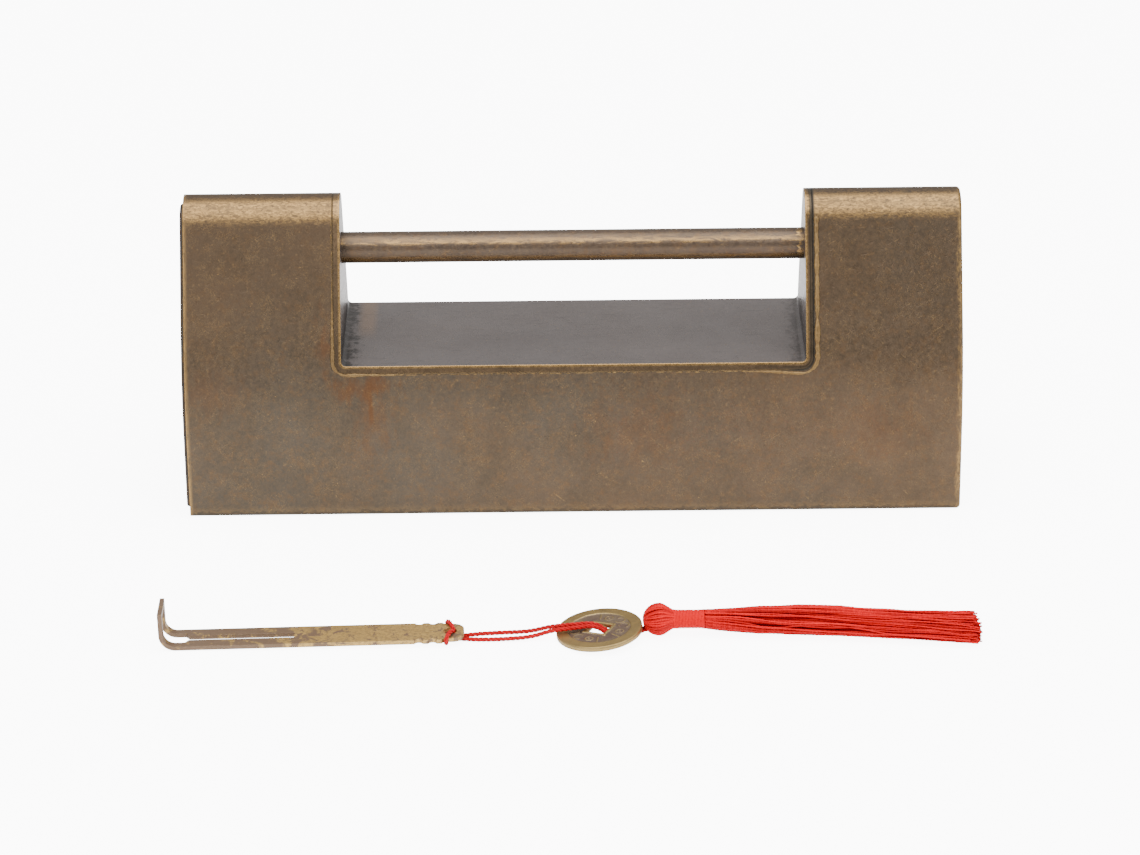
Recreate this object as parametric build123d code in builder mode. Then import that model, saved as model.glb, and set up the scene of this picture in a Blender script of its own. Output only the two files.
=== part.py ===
from build123d import *

import os
from math import asin, atan, atan2, cos, hypot, pi, radians, sin, tan

# Broad spring padlock with its push key, cord, coin and tassel, in millimetres.
# The lock stands on its base: +X points to the keyhole end, -Y to the front, +Z up.
# The origin is the middle of the base. The key set lies on the same floor in front.

os.makedirs("parts", exist_ok=True)

# ---- Case ------------------------------------------------------------------------------
case_length = 200.0
case_width = 49.0
case_height = 80.0
crease_height = 36.5  # where the upright front meets the slope, before it is rounded
crease_radius = 68.0
ridge_radius = 7.3
foot_radius = 1.5  # along the two long bottom edges
end_radius = 1.0  # round the keyhole end
sheet = 1.8
base_thickness = 2.0
wall_thickness = 1.8  # both end walls

# ---- Recess for the hasp ------------------------------------------------------------------
recess_length = 119.4  # clear, between the two horns
recess_floor = 41.0  # height of the floor's upper face
lining_thickness = 1.9
lining_radius = 1.2  # inside corners

# ---- Bolt: end plate, shackle bar and stem ---------------------------------------------------
plate_thickness = 1.0
plate_inset = 2.4  # the plate's outline lies this far inside the case's outline
plate_foot = 1.6  # height of its bottom edge
plate_rounding = 0.6
bar_diameter = 8.1
bar_height = 65.3  # height of its axis
bar_reach = 8.3  # how far its tip goes past the recess into the keyhole horn
bar_tip_chamfer = 0.8
bar_tenon_diameter = 6.0
stem_width = 2.4
stem_height = 5.0
stem_level = 17.5  # height of its underside
stem_tenon_inset = 0.4
stem_tip_gap = 22.0  # from the keyhole plate's outer face back to the stem's tip
running_clearance = 0.10  # round the shackle bar, on the radius
passage_clearance = 1.2  # round the pressed springs where the stem goes through a wall

# ---- Leaf springs and their rivets -----------------------------------------------------------
leaf_thickness = 0.5
leaf_root = 8.0  # flat length riveted to the stem
leaf_reach = 29.4  # from the end of the root to the free end, along the stem
leaf_splay = 3.5  # how far the free end stands off the stem
leaf_edge_gap = 0.2  # a side leaf is this much lower than the stem at both edges
side_rivet_diameter = 2.0
side_rivet_head = 3.2
top_rivet_diameter = 1.2
top_rivet_head = 2.0
rivet_head_height = 0.6
rivet_head_rounding = 0.36
rivet_clearance = 0.05  # round a rivet in a leaf, on the radius

# ---- Catch plate and ward ----------------------------------------------------------------
catch_thickness = 2.0
catch_gap = 0.4  # from the leaves' free ends back to the catch plate
throat_clearance = 1.2  # between the pressed springs and the throat, each side
ward_length = 20.0
ward_thickness = 1.6
ward_gap = 0.2  # under the stem
ward_setback = 8.0  # from the stem's tip to the ward

# ---- Key --------------------------------------------------------------------------------
key_y = -96.0  # centre line of the key set
key_head_x = -101.7  # outer face of the upturned head
key_length = 74.2
key_width = 9.2
key_thickness = 1.1
key_bend_radius = 2.9  # inside the bend
key_head_height = 9.8
key_crossbar = 1.6
key_window_width = 4.86
key_window_length = 6.1  # from the head's outer face
key_shoulder = 0.9  # chamfered step from the window to the slot
key_slot_width = 2.3
key_slot_end = 33.6  # the slot's closed end, from the head's outer face
key_tail_width = 7.8
key_tail_radius = 2.8
key_neck = 4.3  # length of the narrower tail
key_hole_diameter = 3.3
key_hole_setback = 3.4  # from the tail's end
scallop_radius = 1.15
scallop_pitch = 3.35
scallop_depth = 0.7
scallops = 3
keyhole_clearance = 0.35

# ---- Cord, coin and tassel ---------------------------------------------------------------
cord_diameter = 1.15
cord_gap = 0.07  # between the cord and the key above it
cord_floor_gap = 0.03
hitch_top = 3.2  # height of the hitch's centre line over the tail
hitch_spread = 0.62  # from the key's centre line to each strand in the tail's hole
hitch_forward = 0.75  # from the hole's middle towards the tail's end
hitch_wrap = 0.86  # from a notch's bottom out to the centre line beside it
coin_diameter = 21.2
coin_thickness = 1.3
coin_rim = 3.0
coin_field_depth = 0.25
coin_hole = 4.8
coin_hole_border = 0.8
coin_hole_turn = -27.0  # degrees
coin_x = 5.6
coin_lift = 2.1  # the coin's right edge rides on the cord, this far off the floor
coin_offset_y = 1.0
tassel_axis_y = 1.8
tassel_ball_diameter = 8.1
tassel_ball_x = 20.15
binding_diameter = 4.9
binding_length = 7.9
binding_bury = 3.35  # from the ball's centre to where the binding starts
skirt_length = 67.9
skirt_floor_gap = 0.25  # leaves room for the loft to dip between its sections

# ---- Values worked out from those above -----------------------------------------------------
half_length = case_length / 2
half_width = case_width / 2
ridge_rise = case_height - ridge_radius - crease_height
slope = atan2(half_width, ridge_rise) - asin(ridge_radius / hypot(half_width, ridge_rise))
apex_height = crease_height + half_width / tan(slope)  # where the two slopes would meet
stem_top = stem_level + stem_height
stem_middle = stem_level + stem_height / 2
stem_tip_x = half_length - stem_tip_gap
leaf_hinge_x = stem_tip_x - leaf_root
leaf_free_x = leaf_hinge_x - leaf_reach
pressed_width = stem_width + 2 * leaf_thickness  # stem with both side leaves pressed flat
pressed_top = stem_top + leaf_thickness
catch_x = leaf_free_x - catch_gap - catch_thickness
key_bottom = stem_level - ward_gap - key_thickness - keyhole_clearance  # underside, in use


def case_outline(inset=0.0, bottom=0.0, corner=0.0):
    """Draw the case's end section, inset from the outside, with rounded crease and ridge."""
    side = half_width - inset
    crease = crease_height - inset * tan(slope / 2)
    apex = apex_height - inset / sin(slope)
    with BuildLine() as outline:
        FilletPolyline(
            (-side, bottom),
            (side, bottom),
            (side, crease),
            (0, apex),
            (-side, crease),
            radius=[corner, corner, crease_radius - inset, ridge_radius - inset, crease_radius - inset],
            close=True,
        )
    make_face(outline.edges())


def recess_outline(grow=0.0, mode=Mode.ADD):
    """Draw the recess from the front, grown by grow at its sides and floor, and open above."""
    side = recess_length / 2 + grow
    floor = recess_floor - grow
    top = case_height + 10
    corner = lining_radius + grow
    with BuildLine() as outline:
        FilletPolyline((-side, top), (-side, floor), (side, floor), (side, top), radius=[corner, corner])
        Line((side, top), (-side, top))
    make_face(outline.edges(), mode=mode)


# ==== Case: folded sheet, base, recess lining and end walls ====================================

# One sheet folded over the ridge, open below and at both ends.
with BuildPart() as case_shell:
    with BuildSketch(Plane.YZ.offset(-half_length)):
        case_outline(corner=foot_radius)
    extrude(amount=case_length)
    fillet(case_shell.edges().group_by(Axis.X)[-1], end_radius)
    with BuildSketch(Plane.YZ.offset(-half_length)):
        case_outline(inset=sheet, bottom=-sheet)
    extrude(amount=case_length, mode=Mode.SUBTRACT)
    with BuildSketch(Plane.XZ):
        recess_outline(grow=lining_thickness)
    extrude(amount=case_width, both=True, mode=Mode.SUBTRACT)
case_shell.part.label = "case_shell"
export_step(case_shell.part, "parts/case_shell.step")

# Flat base brazed between the two skirts of the sheet.
with BuildPart() as base_plate:
    with BuildSketch(Plane.XY):
        Rectangle(case_length, case_width - 2 * sheet)
    extrude(amount=base_thickness)
    fillet(base_plate.edges().group_by(Axis.X)[-1].sort_by(Axis.Z)[0], end_radius)
base_plate.part.label = "base_plate"
export_step(base_plate.part, "parts/base_plate.step")

# Strip bent into a U: the recess floor and the two horn walls, flush with the case outside.
with BuildPart() as recess_lining:
    with BuildSketch(Plane.XZ):
        recess_outline(grow=lining_thickness)
        recess_outline(mode=Mode.SUBTRACT)
    extrude(amount=case_width, both=True)
    with BuildSketch(Plane.YZ):
        case_outline()
    extrude(amount=recess_length, both=True, mode=Mode.INTERSECT)
    with BuildSketch(Plane.YZ):
        with Locations((0, bar_height)):
            Circle(bar_diameter / 2 + running_clearance)
    extrude(amount=recess_length, both=True, mode=Mode.SUBTRACT)
recess_lining.part.label = "recess_lining"
export_step(recess_lining.part, "parts/recess_lining.step")


def stem_passage(clearance):
    """Draw the opening that the stem goes through with its leaves pressed flat."""
    width = pressed_width + 2 * clearance
    top = pressed_top + clearance
    bottom = stem_level - clearance / 2
    with Locations((0, (top + bottom) / 2)):
        Rectangle(width, top - bottom)


# Fixed wall at the bolt's end, with a hole for the bar and one for the stem.
with BuildPart() as bolt_end_wall:
    with BuildSketch(Plane.YZ.offset(-half_length)):
        case_outline(inset=sheet, bottom=base_thickness)
    extrude(amount=wall_thickness)
    with BuildSketch(Plane.YZ.offset(-half_length)):
        with Locations((0, bar_height)):
            Circle(bar_diameter / 2 + running_clearance)
        stem_passage(passage_clearance)
    extrude(amount=wall_thickness, mode=Mode.SUBTRACT)
bolt_end_wall.part.label = "bolt_end_wall"
export_step(bolt_end_wall.part, "parts/bolt_end_wall.step")

# Fixed plate at the other end, with the keyhole sized to the key's upturned head.
with BuildPart() as keyhole_end_plate:
    with BuildSketch(Plane.YZ.offset(half_length - wall_thickness)):
        case_outline(inset=sheet, bottom=base_thickness)
    extrude(amount=wall_thickness)
    with BuildSketch(Plane.YZ.offset(half_length - wall_thickness)):
        with Locations((0, key_bottom + key_head_height / 2)):
            RectangleRounded(
                key_width + 2 * keyhole_clearance,
                key_head_height + 2 * keyhole_clearance,
                key_thickness / 2,
            )
    extrude(amount=wall_thickness, mode=Mode.SUBTRACT)
keyhole_end_plate.part.label = "keyhole_end_plate"
export_step(keyhole_end_plate.part, "parts/keyhole_end_plate.step")

# Inner wall under the recess floor. The splayed leaves rest against it when locked.
with BuildPart() as catch_plate:
    with BuildSketch(Plane.YZ.offset(catch_x)):
        case_outline(inset=sheet, bottom=base_thickness)
        with Locations((0, recess_floor - lining_thickness)):
            Rectangle(case_width, case_height, align=(Align.CENTER, Align.MIN), mode=Mode.SUBTRACT)
    extrude(amount=catch_thickness)
    with BuildSketch(Plane.YZ.offset(catch_x)):
        stem_passage(throat_clearance)
    extrude(amount=catch_thickness, mode=Mode.SUBTRACT)
catch_plate.part.label = "catch_plate"
export_step(catch_plate.part, "parts/catch_plate.step")

# Upright fin on the base. It holds the stem level, and only a slotted key passes it.
with BuildPart() as ward_fin:
    with BuildSketch(Plane.XZ):
        with Locations((stem_tip_x - ward_setback, base_thickness)):
            Rectangle(ward_length, stem_level - ward_gap - base_thickness, align=(Align.MAX, Align.MIN))
    extrude(amount=ward_thickness / 2, both=True)
ward_fin.part.label = "ward_fin"
export_step(ward_fin.part, "parts/ward_fin.step")

# ==== Bolt: end plate, shackle bar, stem, rivets ================================================

with BuildPart() as bolt_end_plate:
    with BuildSketch(Plane.YZ.offset(-half_length)):
        case_outline(inset=plate_inset, bottom=plate_foot, corner=foot_radius)
    extrude(amount=-plate_thickness)
    fillet(bolt_end_plate.edges().group_by(Axis.X)[0], plate_rounding)
    with BuildSketch(Plane.YZ.offset(-half_length)):
        with Locations((0, bar_height)):
            Circle(bar_tenon_diameter / 2)
        with Locations((0, stem_middle)):
            Rectangle(stem_width - 2 * stem_tenon_inset, stem_height - 2 * stem_tenon_inset)
    extrude(amount=-plate_thickness, mode=Mode.SUBTRACT)
bolt_end_plate.part.label = "bolt_end_plate"
export_step(bolt_end_plate.part, "parts/bolt_end_plate.step")

with BuildPart() as shackle_bar:
    with BuildSketch(Plane.YZ.offset(-half_length)):
        with Locations((0, bar_height)):
            Circle(bar_diameter / 2)
    extrude(amount=half_length + recess_length / 2 + bar_reach)
    chamfer(shackle_bar.edges().sort_by(Axis.X)[-1], bar_tip_chamfer)
    with BuildSketch(Plane.YZ.offset(-half_length)):
        with Locations((0, bar_height)):
            Circle(bar_tenon_diameter / 2)
    extrude(amount=-plate_thickness)
shackle_bar.part.label = "shackle_bar"
export_step(shackle_bar.part, "parts/shackle_bar.step")

side_rivet_x = leaf_hinge_x + leaf_root / 3
top_rivet_x = leaf_hinge_x + leaf_root * 0.8

with BuildPart() as stem_bar:
    with BuildSketch(Plane.YZ.offset(-half_length)):
        with Locations((0, stem_middle)):
            Rectangle(stem_width, stem_height)
    extrude(amount=half_length + stem_tip_x)
    with BuildSketch(Plane.YZ.offset(-half_length)):
        with Locations((0, stem_middle)):
            Rectangle(stem_width - 2 * stem_tenon_inset, stem_height - 2 * stem_tenon_inset)
    extrude(amount=-plate_thickness)
    with BuildSketch(Plane.XZ):
        with Locations((side_rivet_x, stem_middle)):
            Circle(side_rivet_diameter / 2)
    extrude(amount=stem_width, both=True, mode=Mode.SUBTRACT)
    with BuildSketch(Plane.XY.offset(stem_level)):
        with Locations((top_rivet_x, 0)):
            Circle(top_rivet_diameter / 2)
    extrude(amount=stem_height, mode=Mode.SUBTRACT)
stem_bar.part.label = "stem_bar"
export_step(stem_bar.part, "parts/stem_bar.step")

# Rivet through the stem and both side leaves, with a low head outside each leaf.
with BuildPart() as side_leaf_rivet:
    with BuildSketch(Plane.XZ):
        with Locations((side_rivet_x, stem_middle)):
            Circle(side_rivet_diameter / 2)
    extrude(amount=pressed_width / 2, both=True)
    for face_plane in (Plane.XZ.offset(pressed_width / 2), Plane.XZ.offset(-pressed_width / 2)):
        outwards = rivet_head_height if face_plane.origin.Y < 0 else -rivet_head_height
        with BuildSketch(face_plane):
            with Locations((side_rivet_x, stem_middle)):
                Circle(side_rivet_head / 2)
        extrude(amount=outwards)
    heads = side_leaf_rivet.edges().filter_by(GeomType.CIRCLE).group_by(Axis.Y)
    fillet(heads[0] + heads[-1], rivet_head_rounding)
side_leaf_rivet.part.label = "side_leaf_rivet"
export_step(side_leaf_rivet.part, "parts/side_leaf_rivet.step")

with BuildPart() as top_leaf_rivet:
    with BuildSketch(Plane.XY.offset(stem_level)):
        with Locations((top_rivet_x, 0)):
            Circle(top_rivet_diameter / 2)
    extrude(amount=stem_height + leaf_thickness)
    with BuildSketch(Plane.XY.offset(pressed_top)):
        with Locations((top_rivet_x, 0)):
            Circle(top_rivet_head / 2)
    extrude(amount=rivet_head_height)
    fillet(top_leaf_rivet.edges().sort_by(Axis.Z)[-1], rivet_head_rounding)
top_leaf_rivet.part.label = "top_leaf_rivet"
export_step(top_leaf_rivet.part, "parts/top_leaf_rivet.step")

# ==== Leaf springs: a flat root on the stem, then a straight splay to the free end ================

for leaf_name, facing in (("leaf_front", -1), ("leaf_back", 1)):
    inner = facing * stem_width / 2
    outer = facing * pressed_width / 2
    splay = facing * leaf_splay
    with BuildPart() as side_leaf:
        with BuildSketch(Plane.XY.offset(stem_level + leaf_edge_gap)):
            with BuildLine():
                Polyline(
                    (stem_tip_x, inner),
                    (leaf_hinge_x, inner),
                    (leaf_free_x, inner + splay),
                    (leaf_free_x, outer + splay),
                    (leaf_hinge_x, outer),
                    (stem_tip_x, outer),
                    close=True,
                )
            make_face()
        extrude(amount=stem_height - 2 * leaf_edge_gap)
        with BuildSketch(Plane.XZ):
            with Locations((side_rivet_x, stem_middle)):
                Circle(side_rivet_diameter / 2 + rivet_clearance)
        extrude(amount=pressed_width, both=True, mode=Mode.SUBTRACT)
    side_leaf.part.label = leaf_name
    export_step(side_leaf.part, f"parts/{leaf_name}.step")

with BuildPart() as leaf_top:
    with BuildSketch(Plane.XZ):
        with BuildLine():
            Polyline(
                (stem_tip_x, stem_top),
                (leaf_hinge_x, stem_top),
                (leaf_free_x, stem_top + leaf_splay),
                (leaf_free_x, pressed_top + leaf_splay),
                (leaf_hinge_x, pressed_top),
                (stem_tip_x, pressed_top),
                close=True,
            )
        make_face()
    extrude(amount=stem_width / 2, both=True)
    with BuildSketch(Plane.XY.offset(stem_top)):
        with Locations((top_rivet_x, 0)):
            Circle(top_rivet_diameter / 2 + rivet_clearance)
    extrude(amount=leaf_thickness, mode=Mode.SUBTRACT)
leaf_top.part.label = "leaf_top"
export_step(leaf_top.part, "parts/leaf_top.step")

# ==== Key: slotted strip with an upturned, windowed head and a scalloped tail ======================

# The tail rides on the cord, so the strip leans up from the head by a small angle.
tail_hole_u = key_length - key_hole_setback
key_lean = atan((cord_diameter + 2 * cord_gap) / tail_hole_u)
key_plane = Plane(
    origin=(key_head_x, key_y, 0),
    x_dir=(cos(key_lean), 0, sin(key_lean)),
    z_dir=(-sin(key_lean), 0, cos(key_lean)),
)
key_side_plane = Plane(origin=key_plane.origin, x_dir=key_plane.x_dir, z_dir=(0, -1, 0))

with BuildPart() as key_blade:
    with BuildSketch(key_side_plane):
        with BuildLine():
            FilletPolyline(
                (0, key_head_height),
                (0, 0),
                (key_length, 0),
                radius=[key_bend_radius + key_thickness],
            )
            Line((key_length, 0), (key_length, key_thickness))
            FilletPolyline(
                (key_length, key_thickness),
                (key_thickness, key_thickness),
                (key_thickness, key_head_height),
                radius=[key_bend_radius],
            )
            Line((key_thickness, key_head_height), (0, key_head_height))
        make_face()
    extrude(amount=key_width / 2, both=True)
    # Outline from above: full width, scallops on both edges, then a narrower round tail.
    with BuildSketch(key_plane.offset(-key_thickness)):
        neck_u = key_length - key_neck
        with Locations((neck_u / 2, 0)):
            Rectangle(neck_u, key_width)
        with Locations((key_length - key_neck - key_tail_radius, 0)):
            RectangleRounded(
                2 * (key_neck + key_tail_radius), key_tail_width, key_tail_radius, align=(Align.CENTER, Align.CENTER)
            )
        edge = key_width / 2 + scallop_radius - scallop_depth
        notches = [(neck_u - n * scallop_pitch, side * edge) for n in range(scallops) for side in (-1, 1)]
        with Locations(*notches):
            Circle(scallop_radius, mode=Mode.SUBTRACT)
        with Locations((tail_hole_u, 0)):
            Circle(key_hole_diameter / 2, mode=Mode.SUBTRACT)
        # The slot, which straddles the ward, with one rounded end.
        slot_start = key_window_length + key_shoulder
        with Locations(((slot_start + key_slot_end - key_slot_width / 2) / 2, 0)):
            Rectangle(key_slot_end - key_slot_width / 2 - slot_start, key_slot_width, mode=Mode.SUBTRACT)
        with Locations((key_slot_end - key_slot_width / 2, 0)):
            Circle(key_slot_width / 2, mode=Mode.SUBTRACT)
        with BuildLine():
            Polyline(
                (key_window_length, -key_window_width / 2),
                (slot_start, -key_slot_width / 2),
                (slot_start, key_slot_width / 2),
                (key_window_length, key_window_width / 2),
                close=True,
            )
        make_face(mode=Mode.SUBTRACT)
    extrude(amount=key_head_height + 2 * key_thickness, mode=Mode.INTERSECT)
    # The window runs from the crossbar down the head and along the strip to the shoulders.
    with BuildSketch(key_plane.offset(-key_thickness)):
        with Locations((key_window_length / 2 - key_thickness, 0)):
            Rectangle(key_window_length + 2 * key_thickness, key_window_width)
    extrude(amount=key_head_height - key_crossbar + key_thickness, mode=Mode.SUBTRACT)
key_blade.part.label = "key_blade"
export_step(key_blade.part, "parts/key_blade.step")

# ==== Cord =================================================================================

cord_low = cord_diameter / 2 + cord_floor_gap  # height of a strand's centre line on the floor


def route_radii(route):
    """Work out each corner's largest easy radius from its two runs and its turn."""
    points = [Vector(*point) for point in route]
    radii = []
    for before, here, after in zip(points, points[1:], points[2:]):
        arriving = here - before
        leaving = after - here
        shorter = min(arriving.length, leaving.length)
        radii.append(0.45 * shorter / tan(radians(arriving.get_angle(leaving)) / 2))
    return radii


def cord_tube(name, route):
    """Sweep one strand of cord along straight runs joined by tangent arcs."""
    radii = route_radii(route)
    with BuildPart() as tube:
        with BuildLine() as path:
            FilletPolyline(*route, radius=radii)
        with BuildSketch(Plane(origin=path.line @ 0, z_dir=path.line % 0)):
            Circle(cord_diameter / 2)
        sweep()
    length = sum(edge.length for edge in path.edges())
    share = tube.part.volume / (length * pi * cord_diameter**2 / 4)
    print(name, "radii", [round(radius, 1) for radius in radii])
    print(name, "length", round(length, 1), "volume over section times length", round(share, 4))
    return tube


# The two strands leave under the tail, cross the coin's left half, go down through its
# square hole, pass under its right half and enter the tassel's head. The near strand runs
# on through the binding and hangs in the top of the skirt.
near_route = [
    (-28.3, key_y - 0.75, cord_low),
    (-23.6, key_y - 1.5, cord_low),
    (-17.0, key_y - 1.2, cord_low),
    (-11.0, key_y - 0.9, 0.95),
    (-6.2, key_y - 0.5, 2.45),
    (-1.4, key_y + 0.1, 2.7),
    (4.4, key_y + 0.75, 3.15),
    (7.5, key_y + 1.02, cord_low),
    (11.0, key_y + 1.1, cord_low),
    (14.3, key_y + 1.2, 0.75),
    (17.4, key_y + 1.3, 1.7),
    (20.6, key_y + 1.65, 3.1),
    (24.6, key_y + 1.95, 4.0),
    (29.6, key_y + 1.7, 4.15),
    (35.2, key_y + 2.2, 3.6),
    (41.2, key_y + 2.9, 3.1),
]
far_route = [
    (-28.3, key_y + 0.75, cord_low),
    (-24.0, key_y + 1.75, cord_low),
    (-17.6, key_y + 2.3, cord_low),
    (-11.3, key_y + 2.1, 0.95),
    (-6.3, key_y + 1.8, 2.45),
    (-1.2, key_y + 1.85, 2.75),
    (4.5, key_y + 2.05, 3.15),
    (7.5, key_y + 2.22, cord_low),
    (11.2, key_y + 2.45, cord_low),
    (14.4, key_y + 2.5, 0.8),
    (17.6, key_y + 2.45, 1.6),
]
cord_strand_near = cord_tube("cord_strand_near", near_route)
cord_strand_near.part.label = "cord_strand_near"
export_step(cord_strand_near.part, "parts/cord_strand_near.step")
cord_strand_far = cord_tube("cord_strand_far", far_route)
cord_strand_far.part.label = "cord_strand_far"
export_step(cord_strand_far.part, "parts/cord_strand_far.step")

# Hitch on the tail: up through the hole, out over both edges and back under the strip.
hole_x = key_head_x + tail_hole_u
notch_x = key_head_x + neck_u
notch_y = key_width / 2 - scallop_depth + hitch_wrap
hitch_route = [
    near_route[0],
    (hole_x + hitch_forward, key_y - hitch_spread, cord_low),
    (hole_x + hitch_forward, key_y - hitch_spread, hitch_top),
    (notch_x, key_y - notch_y, hitch_top),
    (notch_x, key_y - notch_y, cord_low),
    (notch_x, key_y + notch_y, cord_low),
    (notch_x, key_y + notch_y, hitch_top),
    (hole_x + hitch_forward, key_y + hitch_spread, hitch_top),
    (hole_x + hitch_forward, key_y + hitch_spread, cord_low),
    far_route[0],
]
cord_hitch = cord_tube("cord_hitch", hitch_route)
cord_hitch.part.label = "cord_hitch"
export_step(cord_hitch.part, "parts/cord_hitch.step")

# ==== Coin: round, with a square hole, leaning on the cord ======================================

coin_lean = asin(coin_lift / coin_diameter)
coin_plane = Plane(
    origin=(coin_x, key_y + coin_offset_y, coin_lift / 2),
    x_dir=(cos(coin_lean), 0, sin(coin_lean)),
    z_dir=(-sin(coin_lean), 0, cos(coin_lean)),
)
with BuildPart() as coin:
    with BuildSketch(coin_plane):
        Circle(coin_diameter / 2)
        Rectangle(coin_hole, coin_hole, rotation=coin_hole_turn, mode=Mode.SUBTRACT)
    extrude(amount=coin_thickness)
    # Both faces have a sunk field between the rim and the border of the hole.
    for field_plane in (coin_plane.offset(coin_thickness - coin_field_depth), coin_plane):
        with BuildSketch(field_plane):
            Circle(coin_diameter / 2 - coin_rim)
            Rectangle(
                coin_hole + 2 * coin_hole_border,
                coin_hole + 2 * coin_hole_border,
                rotation=coin_hole_turn,
                mode=Mode.SUBTRACT,
            )
        extrude(amount=coin_field_depth, mode=Mode.SUBTRACT)
coin.part.label = "coin"
export_step(coin.part, "parts/coin.step")

# ==== Tassel: ball, binding and flat-lying skirt ================================================

tassel_y = key_y + tassel_axis_y
ball_radius = tassel_ball_diameter / 2
binding_start_x = tassel_ball_x + binding_bury
binding_end_x = binding_start_x + binding_length
tassel_front = Plane(origin=(0, tassel_y, ball_radius), x_dir=(1, 0, 0), z_dir=(0, -1, 0))

with BuildPart() as tassel_head:
    with BuildSketch(tassel_front):
        with Locations((tassel_ball_x, 0)):
            Circle(ball_radius)
        with Locations((tassel_ball_x, 0)):
            Rectangle(tassel_ball_diameter, ball_radius, align=(Align.CENTER, Align.MAX), mode=Mode.SUBTRACT)
        with Locations((binding_start_x, 0)):
            Rectangle(
                tassel_ball_diameter, tassel_ball_diameter, align=(Align.MIN, Align.CENTER), mode=Mode.SUBTRACT
            )
    revolve(axis=Axis((0, tassel_y, ball_radius), (1, 0, 0)))
    add(cord_strand_near.part, mode=Mode.SUBTRACT)
tassel_head.part.label = "tassel_head"
export_step(tassel_head.part, "parts/tassel_head.step")

with BuildPart() as tassel_binding:
    with BuildSketch(Plane(origin=(binding_start_x, tassel_y, ball_radius), z_dir=(1, 0, 0))):
        Circle(binding_diameter / 2)
    extrude(amount=binding_length)
    add(cord_strand_near.part, mode=Mode.SUBTRACT)
tassel_binding.part.label = "tassel_binding"
export_step(tassel_binding.part, "parts/tassel_binding.step")

# Sections of the skirt: share of its length, sideways shift, half width, half height.
skirt_sections = [
    (0.0, 0.0, binding_diameter / 2, binding_diameter / 2),
    (0.2, 1.6, 5.2, 2.9),
    (0.5, 1.2, 6.6, 2.4),
    (1.0, -1.6, 8.5, 1.7),
]
with BuildPart() as tassel_skirt:
    for share, shift, half_wide, half_high in skirt_sections:
        middle = ball_radius if share == 0.0 else half_high + skirt_floor_gap
        section_plane = Plane(
            origin=(binding_end_x + share * skirt_length, tassel_y + shift, middle),
            x_dir=(0, 1, 0),
            z_dir=(1, 0, 0),
        )
        with BuildSketch(section_plane):
            Ellipse(half_wide, half_high)
    loft()
    add(cord_strand_near.part, mode=Mode.SUBTRACT)
tassel_skirt.part.label = "tassel_skirt"
export_step(tassel_skirt.part, "parts/tassel_skirt.step")
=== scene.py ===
"""Broad brass spring padlock with its push key, cord, coin and tassel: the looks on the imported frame.

Every length here is in metres and in the frame's own axes: +X to the keyhole end, -Y to the front, +Z up.
"""

import logging
import math
import random
from dataclasses import dataclass
from enum import Enum
from functools import cache

import bpy
import numpy as np
from mathutils import Matrix, Vector, noise
from mathutils.bvhtree import BVHTree


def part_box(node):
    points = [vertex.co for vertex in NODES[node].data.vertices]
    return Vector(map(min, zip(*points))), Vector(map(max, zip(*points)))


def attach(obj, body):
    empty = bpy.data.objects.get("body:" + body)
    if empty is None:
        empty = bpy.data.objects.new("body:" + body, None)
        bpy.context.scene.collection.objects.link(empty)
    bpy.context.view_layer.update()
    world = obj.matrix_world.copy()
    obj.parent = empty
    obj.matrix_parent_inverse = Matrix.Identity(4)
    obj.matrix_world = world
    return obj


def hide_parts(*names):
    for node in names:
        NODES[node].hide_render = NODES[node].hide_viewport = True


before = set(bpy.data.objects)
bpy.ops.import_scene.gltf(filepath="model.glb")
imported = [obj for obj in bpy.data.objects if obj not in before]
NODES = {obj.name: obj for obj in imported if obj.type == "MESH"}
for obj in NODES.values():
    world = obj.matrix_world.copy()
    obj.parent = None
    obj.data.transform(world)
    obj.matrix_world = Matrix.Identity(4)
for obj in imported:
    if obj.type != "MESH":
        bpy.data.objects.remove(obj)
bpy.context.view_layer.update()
LOG = logging.getLogger("padlock")
MM = 0.001
Socket = bpy.types.NodeSocket
Value = Socket | float | tuple[float, ...]
Point = tuple[float, float, float]
Stop = tuple[float, float, float | None]
Sample = tuple[float, float, float, float]
Strand = tuple[bpy.types.Object, list[Vector]]


# ---- Shader building -------------------------------------------------------------------


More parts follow.
